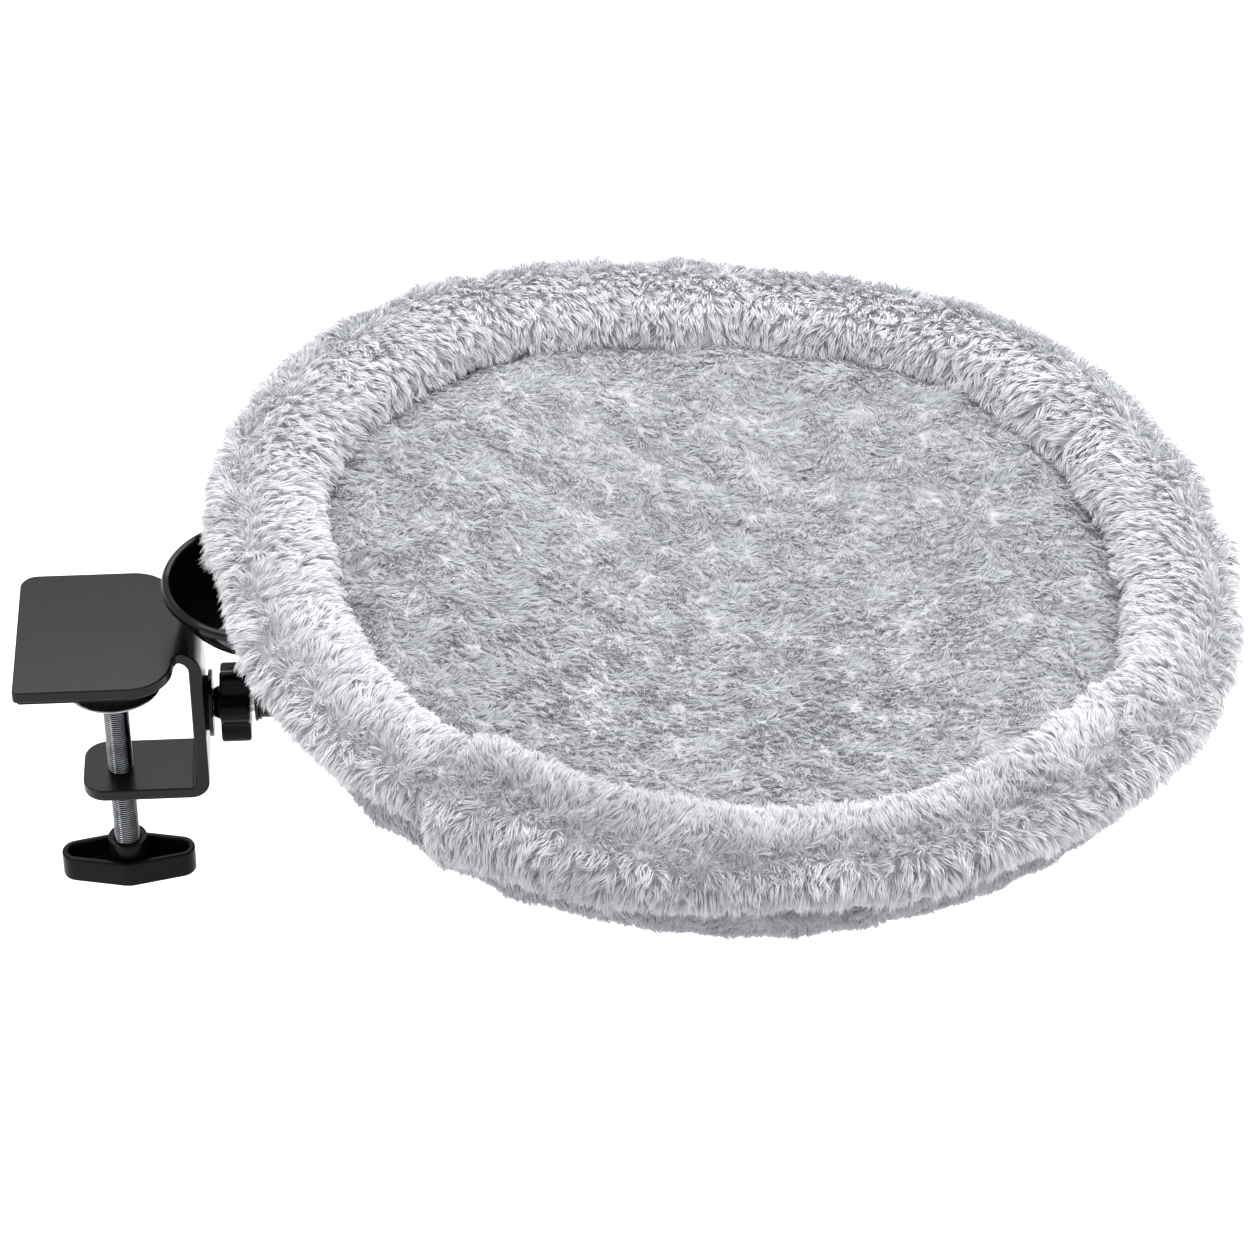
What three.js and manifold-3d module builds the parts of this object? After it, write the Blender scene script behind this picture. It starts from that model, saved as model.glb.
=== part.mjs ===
// Desk-clamp pet bed: a one-piece bent steel clamp, a tilting tube arm with a rim dish, and a round plush bed.
// Units are millimetres and +Z is up. The origin is the centre of the clamp plate's contact face on the desk.
// The arm leaves the clamp along +X, and the viewer of the front stands on the -Y side.
import * as THREE from "three";
import { mergeVertices } from "three/addons/utils/BufferGeometryUtils.js";
import Module from "manifold-3d";

const wasm = await Module();
wasm.setup();

// Clearances
const seatGap = 0.3; // between pieces that rest on each other
const runningGap = 0.3; // around a turning or sliding piece
const softGap = 0.6; // between two soft pieces
const overrun = 5; // how far a cutter runs past what it cuts

// Clamp bracket, one bent strip of steel
const steelThickness = 6;
const plateLength = 85; // from the free edge to the outer face of the web
const plateDepth = 88;
const plateBackRadius = 8;
const plateFrontRadius = 2;
const neckLength = 12.5; // from the end of the plate to the outer face of the web
const shoulderRadius = 20;
const strapWidth = 38; // neck, web and tab
const upperBendRadius = 12; // outer radius
const lowerBendRadius = 9; // outer radius
const bracketHeight = 87.5; // top of the plate to underside of the tab
const tabLength = 60; // from the outer face of the web
const tabCornerRadius = 11;
const deskPadThickness = 2;
const deskPadInset = 1.5;
const deskPadSetback = 3.5; // short of where the neck bends down

// Screw press under the desk
const screwRadius = 6;
const screwLength = 111; // shoulder under the pressure pad to the foot in the handle
const screwTipRadius = 4.2;
const screwTipLength = 6;
const screwChamfer = 1;
const screwFootLength = 10; // six-sided end held by the handle
const jawOpening = 14; // desk contact face down to the rubber of the pressure pad, as shown
const jawRubberThickness = 1.5;
const jawRubberRadius = 13.5;
const padRimRadius = 23;
const padTopRadius = 14.5;
const padHeight = 8;
const padWall = 1.6;
const padBossRadius = 8.5;
const padBossDrop = 9;
const padSocketRoof = 2.4;

// Boat-shaped wing handle
const handleHalfSpan = 24.5; // screw axis to the centre of an end round
const handleEndRadius = 7.5;
const handleWaistRadius = 13;
const handleHeight = 14;
const handleWall = 3;
const handleFloor = 3;
const handleEdgeRound = 1.2;
const hubRadius = 9.4;
const hubStand = 8; // above the handle's upper edge

// Tilt lock on the web
const armAxisDrop = 45; // top of the plate down to the arm's axis
const studRadius = 5;
const frictionWasherRadius = 13;
const frictionWasherThickness = 1.5;
const steelWasherRadius = 16;
const steelWasherThickness = 2;
const knobNeckLength = 3.5;
const knobNeckRadius = 8;
const knobNeckTipRadius = 6.6;
const knobRadius = 19;
const knobLobeDepth = 1.7; // half of the difference between a lobe and a valley
const knobLobes = 6;
const knobThickness = 14;
const knobEdgeRound = 1.4;
const knobTravel = 1.5; // what one turn of the knob backs off
const insertRadius = 8; // across the corners of the nut in the knob
const insertThickness = 7;

// Arm tube
const tubeRadius = 8;
const tubeWall = 1.5;
const collarRadius = 9.6;
const collarThickness = 1.7;
const spigotLength = 15;
const levelLength = 49.5; // from the web to where the arm turns down to run along the bed
const armBendRadius = 160;
const tubePastCentre = 82; // how far the tube runs past the middle of the bed
const endCapThickness = 2.4;
const endCapSpigot = 10;

// Rim dish
const dishReach = 29.5; // from the web to the middle of the dish
const dishRimDrop = 14; // below the parting line of the bed's rim
const dishRadius = 46;
const dishDepth = 28;
const dishWall = 1.5;
const dishLipWidth = 4.2;
const dishLipDrop = 4.4;
const postRadius = 4.5;
const postFlangeRadius = 12;
const postFlangeThickness = 3;
const dishScrewRadius = 2.5;
const dishScrewHeadRadius = 5;
const dishScrewHeadHeight = 2.8;
const dishScrewLength = 14;

// Bed, measured in its own tilted frame: z = 0 at the parting line of the fur along the rim
const bedTilt = THREE.MathUtils.degToRad(3.3); // far side low
const rollCentreRadius = 212;
const rollPastDish = 1.5; // from the middle of the dish to the middle of the roll over it
const rollHalfWidth = 29;
const rollHalfHeight = 17;
const rollCrown = 4; // how far the roll's top stands over the parting line
const rollPuckers = 20;
const rollPuckerDepth = 0.9;
const rollEndGap = 8; // between the two ends of the roll, under the cuff
const rollEndRound = 10;
const hoopRodRadius = 4;
const hoopBoreClearance = 0.5;
const ferruleRadius = 6.4;
const ferruleWall = 1.6;
const shellOutset = 14; // outside the middle of the roll
const shellTopDrop = 28;
const shellFootInset = 78; // inside the shell's own edge
const shellDepth = 77;
const shellWall = 12;
const shellFloor = 6;
const cushionInset = 19; // inside the middle of the roll
const cushionHeight = 49;
const boardOutset = 2; // outside the foot of the shell's wall
const boardThickness = 6;

// Cuff, where one end of the plush folds over the other
const cuffStartAngle = THREE.MathUtils.degToRad(231);
const cuffEndAngle = THREE.MathUtils.degToRad(276);
const cuffThickness = 10;
const cuffTaperedThickness = 2.5;
const cuffLowerDrop = 62; // how far down the wall the cuff reaches

// Support under the bed
const supportRadius = 85;
const supportThickness = 3;
const supportHoleCircle = 62;
const supportScrewRadius = 2.5;
const supportHoleClearance = 0.4;
const supportScrewHeadRadius = 5;
const supportScrewHeadHeight = 3;
const teeBarrelRadius = 3.8;
const teeBarrelLength = 5;
const teeFlangeRadius = 9;
const teeFlangeThickness = 1.2;
const saddleLength = 34;
const saddleWidth = 26;
const saddleRise = 18.7; // axis of the tube up to the support plate
const saddleSpacing = 96;

// Shares of a size
const tipNeckShare = 0.8; // of the radius of the screw's tip
const padFlareShare = 1 / 3; // of the flare, where the saucer of the pressure pad turns to its rim
const saddleSeatShare = 0.5; // of the steel's thickness, on each side of the tube
const screwHeadCrownShare = 0.7; // of a screw head's radius
const rollEndShare = 0.62; // of the roll's section, at its very end
const rollEndShoulderShare = 0.88; // of the roll's section, a little further in
const rollEndShoulderPlaceShare = 0.35; // of the rounded end's length
const cuffEdgeShare = 0.45; // of the cuff's thickness, along its upper and lower edges
const cuffNoseShare = 0.55; // of the cuff's thickness, at its open end
const cuffNoseLengthShare = 0.075; // of the cuff's sweep, over which the open end rounds off
const cuffFadePower = 0.8;
const stemShare = 1 / 3; // of the knob's neck, which is coned

// Facet counts
const roundFacets = 28;
const smallFacets = 20;
const fewFacets = 12;
const bendFacets = 8;
const tubeFacets = 20;
const hoopFacets = 48;
const hoopSides = 6;
const rollSides = 12;

// Places worked out from the sizes
const plateTopZ = deskPadThickness + steelThickness;
const webOuterX = plateLength / 2;
const webInnerX = webOuterX - steelThickness;
const shoulderX = webOuterX - neckLength;
const deskPadEndX = webOuterX - upperBendRadius - deskPadSetback;
const tabBottomZ = plateTopZ - bracketHeight;
const tabTopZ = tabBottomZ + steelThickness;
const armAxisZ = plateTopZ - armAxisDrop;
const jawRubberTopZ = -jawOpening;
const padTopZ = jawRubberTopZ - jawRubberThickness;
const frictionWasherX = webOuterX + frictionWasherThickness;
const steelWasherX = frictionWasherX + steelWasherThickness;
const knobX = steelWasherX + knobNeckLength;
const knobEndX = knobX + knobThickness;
const collarX = knobEndX + knobTravel + runningGap;
const tubeStartX = collarX + collarThickness;
const armBendX = webOuterX + levelLength;
const dishX = webOuterX + dishReach;

// Places in the bed's own frame
const rollCentreZ = rollCrown - rollHalfHeight;
const shellRadius = rollCentreRadius + shellOutset;
const shellFootRadius = shellRadius - shellFootInset;
const shellFloorZ = shellFloor - shellDepth;
const boardRadius = shellFootRadius + boardOutset;
const boardBottomZ = shellFloorZ + seatGap;
const boardTopZ = boardBottomZ + boardThickness;
const cushionRadius = rollCentreRadius - cushionInset;
const cushionBottomZ = boardTopZ + teeFlangeThickness + 2 * seatGap;
const supportTopZ = -shellDepth - seatGap;
const supportBottomZ = supportTopZ - supportThickness;
const tubeAxisBedZ = supportBottomZ - saddleRise;

// The bed sits on the arm, and the dish stands at the bed's near rim
const bedCentreX = dishX + rollPastDish + rollCentreRadius;
const centreToBendX = armBendX - bedCentreX;
const centreToBendZ = (tubeAxisBedZ - centreToBendX * Math.sin(bedTilt)) / Math.cos(bedTilt);
const bedCentreZ = armAxisZ - centreToBendZ;
const dishRimZ = bedCentreZ - dishRimDrop;
const dishFloorZ = dishRimZ - dishDepth;

const finishes = {
  powderBlack: { color: 0x1b1b1d, roughness: 0.42, metalness: 0.35 },
  glossBlack: { color: 0x0f0f11, roughness: 0.16, metalness: 0.25 },
  rubber: { color: 0x17171a, roughness: 0.85, metalness: 0 },
  plasticBlack: { color: 0x141416, roughness: 0.38, metalness: 0 },
  zinc: { color: 0xb9bcc1, roughness: 0.28, metalness: 0.95 },
  brass: { color: 0xb59a58, roughness: 0.35, metalness: 0.9 },
  fibre: { color: 0x2a2a2c, roughness: 0.8, metalness: 0 },
  springSteel: { color: 0x8b8e92, roughness: 0.35, metalness: 0.9 },
  plywood: { color: 0xc9a777, roughness: 0.7, metalness: 0 },
  plush: { color: 0xd2d3d8, roughness: 0.95, metalness: 0 },
  plushShade: { color: 0xc2c3c9, roughness: 0.95, metalness: 0 },
};

/** Turns a closed geometry into a solid that can be joined and cut. */
function solidOf(geometry) {
  const bare = geometry.index ? geometry.toNonIndexed() : geometry.clone();
  for (const name of Object.keys(bare.attributes)) {
    if (name !== "position") bare.deleteAttribute(name);
  }
  const merged = mergeVertices(bare, 1e-4);
  const vertProperties = new Float32Array(merged.attributes.position.array);
  const triVerts = new Uint32Array(merged.index.array);
  return new wasm.Manifold(new wasm.Mesh({ numProp: 3, vertProperties, triVerts }));
}

/** Gives a solid back as a geometry with flat-shaded normals. */
function geometryOf(solid) {
  const mesh = solid.getMesh();
  const geometry = new THREE.BufferGeometry();
  geometry.setAttribute("position", new THREE.BufferAttribute(new Float32Array(mesh.vertProperties), 3));
  geometry.setIndex(new THREE.BufferAttribute(new Uint32Array(mesh.triVerts), 1));
  geometry.computeVertexNormals();
  return geometry;
}

/** Joins the first geometry with the added ones, takes the cut ones away, and returns one geometry. */
function carve(first, added = [], cut = []) {
  let solid = solidOf(first);
  for (const piece of added) solid = solid.add(solidOf(piece));
  for (const piece of cut) solid = solid.subtract(solidOf(piece));
  return geometryOf(solid);
}

/** Keeps what two geometries share. */
function shared(first, second) {
  return geometryOf(solidOf(first).intersect(solidOf(second)));
}

/** Makes a named mesh with one of the finishes. */
function piece(name, geometry, finish) {
  const mesh = new THREE.Mesh(geometry, new THREE.MeshStandardMaterial(finishes[finish]));
  mesh.name = name;
  return mesh;
}

/** Extrudes an outline drawn in X and Y between two heights. */
function slab(shape, bottomZ, topZ, segments = bendFacets) {
  const geometry = new THREE.ExtrudeGeometry(shape, {
    depth: topZ - bottomZ,
    bevelEnabled: false,
    curveSegments: segments,
  });
  return geometry.translate(0, 0, bottomZ);
}

/** Extrudes an outline with rounded upper and lower edges between two heights. */
function roundedSlab(shape, bottomZ, topZ, edge, segments) {
  const geometry = new THREE.ExtrudeGeometry(shape, {
    depth: topZ - bottomZ - 2 * edge,
    bevelEnabled: true,
    bevelSize: edge,
    bevelOffset: -edge,
    bevelThickness: edge,
    bevelSegments: 3,
    curveSegments: segments,
  });
  return geometry.translate(0, 0, bottomZ + edge);
}

/** Extrudes a side view drawn in X and Z, centred on Y = 0. */
function sideSlab(shape, width, segments = bendFacets) {
  const geometry = new THREE.ExtrudeGeometry(shape, { depth: width, bevelEnabled: false, curveSegments: segments });
  return geometry.rotateX(Math.PI / 2).translate(0, width / 2, 0);
}

/** Revolves pairs of radius and height about the Z axis. The pairs run up the outside of the piece. */
function turned(pairs, facets = roundFacets) {
  const points = pairs.map(([radius, height]) => new THREE.Vector2(radius, height));
  return new THREE.LatheGeometry(points, facets).rotateX(Math.PI / 2);
}

/** Revolves a closed ring profile about the Z axis. */
function turnedRing(pairs, facets = roundFacets) {
  return turned([...pairs, pairs[0]], facets);
}

/** A cylinder along Z between two heights. */
function rod(radius, bottomZ, topZ, facets = smallFacets) {
  const geometry = new THREE.CylinderGeometry(radius, radius, topZ - bottomZ, facets);
  return geometry.rotateX(Math.PI / 2).translate(0, 0, (bottomZ + topZ) / 2);
}

/** Turns a geometry made about Z so that its +Z runs along +X at the height of the arm's axis. */
function alongArm(geometry) {
  return geometry.rotateY(Math.PI / 2).translate(0, 0, armAxisZ);
}

/** Quarter ellipse in radius and height, from the wide end at the top to the narrow end at the foot. */
function bowlCurve(topRadius, topZ, footRadius, footZ, steps) {
  return Array.from({ length: steps + 1 }, (_, i) => {
    const turn = (Math.PI / 2) * (i / steps);
    return [
      footRadius + (topRadius - footRadius) * Math.cos(turn),
      topZ + (footZ - topZ) * Math.sin(turn),
    ];
  });
}

/** A closed tube or bar from rings of points. The ends are closed flat, or the rings join up in a loop. */
function loft(rings, looped) {
  const sides = rings[0].length;
  const positions = rings.flatMap((ring) => ring.flatMap((point) => point.toArray()));
  const index = [];
  const spans = looped ? rings.length : rings.length - 1;
  for (let i = 0; i < spans; i += 1) {
    const here = i * sides;
    const next = ((i + 1) % rings.length) * sides;
    for (let j = 0; j < sides; j += 1) {
      const k = (j + 1) % sides;
      index.push(here + j, next + j, next + k, here + j, next + k, here + k);
    }
  }
  if (!looped) {
    for (const [ring, outward] of [[0, 1], [rings.length - 1, -1]]) {
      const middle = positions.length / 3;
      const centre = rings[ring].reduce((sum, point) => sum.add(point), new THREE.Vector3()).divideScalar(sides);
      positions.push(...centre.toArray());
      for (let j = 0; j < sides; j += 1) {
        const k = (j + 1) % sides;
        const [a, b] = outward > 0 ? [j, k] : [k, j];
        index.push(middle, ring * sides + a, ring * sides + b);
      }
    }
  }
  const geometry = new THREE.BufferGeometry();
  geometry.setAttribute("position", new THREE.Float32BufferAttribute(positions, 3));
  geometry.setIndex(index);
  return geometry;
}

/** A point of the bed from an angle about its middle, a radius and a height. */
function around(angle, radius, height) {
  return new THREE.Vector3(Math.cos(angle) * radius, Math.sin(angle) * radius, height);
}

/** A point on a circle in a plan view, for outlines. */
function arcPoints(centreX, centreY, radius, from, to, steps) {
  return Array.from({ length: steps + 1 }, (_, i) => {
    const angle = from + ((to - from) * i) / steps;
    return new THREE.Vector2(centreX + radius * Math.cos(angle), centreY + radius * Math.sin(angle));
  });
}

// Clamp bracket

/** Side view of the bent strip: plate, upper bend, web, lower bend and tab, all of one thickness. */
function stripProfile() {
  const shape = new THREE.Shape();
  const upperX = webOuterX - upperBendRadius;
  const upperZ = plateTopZ - upperBendRadius;
  const lowerX = webOuterX - lowerBendRadius;
  const lowerZ = tabBottomZ + lowerBendRadius;
  shape.moveTo(-plateLength / 2, plateTopZ);
  shape.lineTo(-plateLength / 2, deskPadThickness);
  shape.lineTo(upperX, deskPadThickness);
  shape.absarc(upperX, upperZ, upperBendRadius - steelThickness, Math.PI / 2, 0, true);
  shape.lineTo(webInnerX, lowerZ);
  shape.absarc(lowerX, lowerZ, lowerBendRadius - steelThickness, 0, -Math.PI / 2, true);
  shape.lineTo(webOuterX - tabLength, tabTopZ);
  shape.lineTo(webOuterX - tabLength, tabBottomZ);
  shape.lineTo(lowerX, tabBottomZ);
  shape.absarc(lowerX, lowerZ, lowerBendRadius, -Math.PI / 2, 0, false);
  shape.lineTo(webOuterX, upperZ);
  shape.absarc(upperX, upperZ, upperBendRadius, 0, Math.PI / 2, false);
  shape.closePath();
  return shape;
}

/** Plan view of the top plate with its neck. inset draws the same outline smaller, endX stops it short. */
function plateOutline(inset, endX) {
  const half = plateDepth / 2 - inset;
  const neck = strapWidth / 2;
  const left = -plateLength / 2 + inset;
  const fillet = plateDepth / 2 - neck - shoulderRadius;
  const shoulder = Math.min(shoulderX - inset, endX);
  const corner = shoulderRadius - inset;
  const shape = new THREE.Shape();
  shape.moveTo(left, half - plateBackRadius);
  shape.lineTo(left, plateFrontRadius - half);
  shape.absarc(left + plateFrontRadius, plateFrontRadius - half, plateFrontRadius, Math.PI, Math.PI * 1.5, false);
  shape.lineTo(shoulder - corner, -half);
  shape.absarc(shoulder - corner, corner - half, corner, -Math.PI / 2, 0, false);
  if (endX > shoulder) {
    shape.absarc(shoulder + fillet, -neck - fillet, fillet, Math.PI, Math.PI / 2, true);
    shape.lineTo(endX, -neck);
    shape.lineTo(endX, neck);
    shape.lineTo(shoulder + fillet, neck);
    shape.absarc(shoulder + fillet, neck + fillet, fillet, -Math.PI / 2, -Math.PI, true);
  }
  shape.absarc(shoulder - corner, half - corner, corner, 0, Math.PI / 2, false);
  shape.lineTo(left + plateBackRadius, half);
  shape.absarc(left + plateBackRadius, half - plateBackRadius, plateBackRadius, Math.PI / 2, Math.PI, false);
  return shape;
}

/** Plan view of the tab, rounded at its free end. */
function tabOutline() {
  const half = strapWidth / 2;
  const left = webOuterX - tabLength;
  const shape = new THREE.Shape();
  shape.moveTo(webOuterX + overrun, -half);
  shape.lineTo(webOuterX + overrun, half);
  shape.lineTo(left + tabCornerRadius, half);
  shape.absarc(left + tabCornerRadius, half - tabCornerRadius, tabCornerRadius, Math.PI / 2, Math.PI, false);
  shape.lineTo(left, tabCornerRadius - half);
  shape.absarc(left + tabCornerRadius, tabCornerRadius - half, tabCornerRadius, Math.PI, Math.PI * 1.5, false);
  shape.closePath();
  return shape;
}

function clampBracket() {
  const strip = sideSlab(stripProfile(), plateDepth + overrun);
  const middleZ = (plateTopZ + tabBottomZ) / 2;
  const upper = shared(strip, slab(plateOutline(0, webOuterX + overrun), middleZ, plateTopZ + overrun));
  const lower = shared(strip, slab(tabOutline(), tabBottomZ - overrun, middleZ));
  const studHole = alongArm(rod(studRadius + runningGap, webInnerX - overrun, webOuterX + overrun));
  const screwHole = rod(screwRadius + runningGap, tabBottomZ - overrun, tabTopZ + overrun);
  return carve(upper, [lower], [studHole, screwHole]);
}

function deskPad() {
  return slab(plateOutline(deskPadInset, deskPadEndX), 0, deskPadThickness);
}

// Screw press

/** Saucer of the swivelling pressure pad, open below, with a boss that holds the tip of the screw. */
function pressurePad() {
  const flare = padRimRadius - padTopRadius;
  const bottom = padTopZ - padHeight;
  const socketRadius = screwTipRadius + runningGap;
  return turned([
    [0, padTopZ - padSocketRoof],
    [socketRadius, padTopZ - padSocketRoof],
    [socketRadius, padTopZ - padBossDrop],
    [padBossRadius, padTopZ - padBossDrop],
    [padBossRadius, padTopZ - 2 * padWall],
    [padTopRadius - padWall, padTopZ - 2 * padWall],
    [padRimRadius - flare * padFlareShare - padWall, bottom + padWall],
    [padRimRadius - padWall, bottom],
    [padRimRadius - padWall / 3, bottom],
    [padRimRadius, bottom + padWall / 2],
    [padRimRadius - padWall / 3, bottom + padWall],
    [padRimRadius - flare * padFlareShare, bottom + 1.5 * padWall],
    [padTopRadius, padTopZ - padWall / 2],
    [padTopRadius - padWall / 2, padTopZ],
    [0, padTopZ],
  ]);
}

/** The screw: tip in the pad, round shank through the tab, six-sided foot in the handle. */
function clampScrew() {
  const shoulderZ = padTopZ - padBossDrop - seatGap;
  const tipZ = padTopZ - padSocketRoof - seatGap;
  const footTopZ = shoulderZ - screwLength + screwFootLength;
  const shank = turned([
    [0, footTopZ],
    [screwRadius, footTopZ],
    [screwRadius, shoulderZ - screwChamfer],
    [screwRadius - screwChamfer, shoulderZ],
    [screwTipRadius * tipNeckShare, shoulderZ],
    [screwTipRadius * tipNeckShare, tipZ - screwTipLength + screwChamfer],
    [screwTipRadius, tipZ - screwTipLength + 2 * screwChamfer],
    [screwTipRadius, tipZ - screwChamfer],
    [screwTipRadius - screwChamfer, tipZ],
    [0, tipZ],
  ], smallFacets);
  const foot = rod(screwRadius, footTopZ - screwFootLength, footTopZ + screwChamfer, 6);
  return carve(shank, [foot]);
}

/** Outline of a boat: a wide circle in the middle and a small one at each end, joined by tangents. */
function boatOutline(waist, end) {
  const lean = Math.acos((waist - end) / handleHalfSpan);
  const points = [
    ...arcPoints(handleHalfSpan, 0, end, -lean, lean, bendFacets),
    ...arcPoints(0, 0, waist, lean, Math.PI - lean, 3),
    ...arcPoints(-handleHalfSpan, 0, end, Math.PI - lean, Math.PI + lean, bendFacets),
    ...arcPoints(0, 0, waist, Math.PI + lean, 2 * Math.PI - lean, 3),
  ];
  return new THREE.Shape(points);
}

function clampHandle() {
  const footZ = padTopZ - padBossDrop - seatGap - screwLength;
  const bottomZ = footZ - seatGap - handleFloor;
  const topZ = bottomZ + handleHeight;
  const hubTopZ = topZ + hubStand;
  const body = roundedSlab(boatOutline(handleWaistRadius, handleEndRadius), bottomZ, topZ, handleEdgeRound, bendFacets);
  const hollow = slab(
    boatOutline(handleWaistRadius - handleWall, handleEndRadius - handleWall),
    bottomZ + handleFloor,
    topZ + overrun,
  );
  const hub = turned([
    [0, bottomZ + handleEdgeRound],
    [hubRadius, bottomZ + handleEdgeRound],
    [hubRadius, hubTopZ - handleEdgeRound],
    [hubRadius - handleEdgeRound, hubTopZ],
    [0, hubTopZ],
  ]);
  const shankBore = rod(screwRadius + seatGap, footZ + screwFootLength - seatGap, hubTopZ + overrun);
  const footBore = rod(screwRadius + 1.5 * seatGap, footZ - seatGap, footZ + screwFootLength, 6);
  const cupped = carve(body, [], [hollow]);
  return carve(cupped, [hub], [shankBore, footBore]);
}

// Tilt lock

/** Scalloped outline of the lock knob. */
function knobOutline() {
  const steps = knobLobes * 6;
  const points = Array.from({ length: steps }, (_, i) => {
    const angle = (2 * Math.PI * i) / steps;
    const radius = knobRadius - knobLobeDepth + knobLobeDepth * Math.cos(knobLobes * angle);
    return new THREE.Vector2(radius * Math.cos(angle), radius * Math.sin(angle));
  });
  return new THREE.Shape(points);
}

function lockKnob() {
  const grip = roundedSlab(knobOutline(), knobX, knobEndX, knobEdgeRound, bendFacets);
  const neck = turned([
    [0, steelWasherX],
    [knobNeckTipRadius, steelWasherX],
    [knobNeckRadius, knobX - knobNeckLength * stemShare],
    [knobNeckRadius, knobX + knobEdgeRound],
    [0, knobX + knobEdgeRound],
  ], smallFacets);
  const bore = rod(studRadius + runningGap, steelWasherX - overrun, knobEndX + overrun);
  const pocket = rod(insertRadius + seatGap, knobEndX - insertThickness - seatGap, knobEndX + overrun, 6);
  return alongArm(carve(grip, [neck], [bore, pocket]));
}

function knobInsert() {
  const nut = rod(insertRadius, knobEndX - insertThickness, knobEndX, 6);
  const bore = rod(studRadius + runningGap, knobEndX - insertThickness - overrun, knobEndX + overrun);
  return alongArm(carve(nut, [], [bore]));
}

/** A flat washer on the stud, between two places along the arm. */
function washer(radius, fromX, toX) {
  const inner = studRadius + runningGap;
  return alongArm(turnedRing([[inner, fromX], [radius, fromX], [radius, toX], [inner, toX]]));
}

function armStud() {
  return alongArm(turned([
    [0, webInnerX],
    [studRadius - screwChamfer, webInnerX],
    [studRadius, webInnerX + screwChamfer],
    [studRadius, tubeStartX + spigotLength - screwChamfer],
    [studRadius - screwChamfer, tubeStartX + spigotLength],
    [0, tubeStartX + spigotLength],
  ], smallFacets));
}

// Arm

/** Middle line of the tube: level from the collar, a slight bend, then straight along the bed's underside. */
class ArmLine extends THREE.Curve {
  constructor(length) {
    super();
    this.level = armBendX - armBendRadius * Math.tan(bedTilt / 2) - tubeStartX;
    this.bend = armBendRadius * bedTilt;
    this.total = length;
  }

  getPoint(share, target = new THREE.Vector3()) {
    const along = share * this.total;
    const turnedBy = THREE.MathUtils.clamp((along - this.level) / armBendRadius, 0, bedTilt);
    const rest = Math.max(along - this.level - this.bend, 0);
    const x = tubeStartX + Math.min(along, this.level) + armBendRadius * Math.sin(turnedBy) + rest * Math.cos(bedTilt);
    const z = armAxisZ - armBendRadius * (1 - Math.cos(turnedBy)) - rest * Math.sin(bedTilt);
    return target.set(x, 0, z);
  }
}

const bendBedX = centreToBendX * Math.cos(bedTilt) - centreToBendZ * Math.sin(bedTilt);
const tubeLength = (armBendX - tubeStartX) + (tubePastCentre - bendBedX)
  - 2 * armBendRadius * Math.tan(bedTilt / 2) + armBendRadius * bedTilt;

function armTube() {
  const section = new THREE.Shape();
  section.absarc(0, 0, tubeRadius, 0, 2 * Math.PI, false);
  const bore = new THREE.Path();
  bore.absarc(0, 0, tubeRadius - tubeWall, 0, 2 * Math.PI, true);
  section.holes.push(bore);
  return new THREE.ExtrudeGeometry(section, {
    steps: 12,
    curveSegments: tubeFacets / 2,
    extrudePath: new ArmLine(tubeLength),
  });
}

function armCollar() {
  const spigot = tubeRadius - tubeWall - seatGap;
  const bore = studRadius + runningGap;
  return alongArm(turnedRing([
    [bore, collarX],
    [collarRadius, collarX],
    [collarRadius, tubeStartX - seatGap],
    [spigot, tubeStartX - seatGap],
    [spigot, tubeStartX + spigotLength],
    [bore, tubeStartX + spigotLength],
  ], tubeFacets));
}

/** Plug in the far end of the tube, made in the bed's frame where the tube is straight. */
function armEndCap() {
  const spigot = tubeRadius - tubeWall - seatGap;
  const geometry = turned([
    [0, -endCapSpigot],
    [spigot, -endCapSpigot],
    [spigot, seatGap],
    [tubeRadius, seatGap],
    [tubeRadius, endCapThickness - screwChamfer],
    [tubeRadius - screwChamfer, endCapThickness],
    [0, endCapThickness],
  ], tubeFacets);
  return geometry.rotateY(Math.PI / 2).translate(tubePastCentre, 0, tubeAxisBedZ);
}

// Rim dish

// Inner line of the dish from the floor to the lip, as shares of its radius inside the lip and of its depth.
const dishWallShares = [[0.46, 0.0], [0.62, 0.06], [0.76, 0.2], [0.87, 0.42], [0.95, 0.7], [1.0, 0.95]];

function rimDish() {
  const mouth = dishRadius - dishLipWidth;
  const hole = dishScrewRadius + runningGap;
  const floorTop = dishFloorZ + dishWall;
  const rise = dishRimZ - floorTop;
  const inner = dishWallShares.map(([across, up]) => [mouth * across, floorTop + rise * up]);
  const outer = dishWallShares.map(([across, up]) => [mouth * across + dishWall, floorTop + rise * up - dishWall]);
  return turnedRing([
    [hole, dishFloorZ],
    [outer[0][0] - dishWall, dishFloorZ],
    ...outer.slice(1),
    [dishRadius - 1.2 * dishWall, dishRimZ - 1.5 * dishWall],
    [dishRadius - dishWall, dishRimZ - dishLipDrop],
    [dishRadius, dishRimZ - dishLipDrop],
    [dishRadius, dishRimZ - dishWall],
    [dishRadius - dishWall / 2, dishRimZ - dishWall / 4],
    [dishRadius - dishLipWidth / 2, dishRimZ],
    ...inner.reverse(),
    [hole, floorTop],
  ], 36);
}

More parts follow.
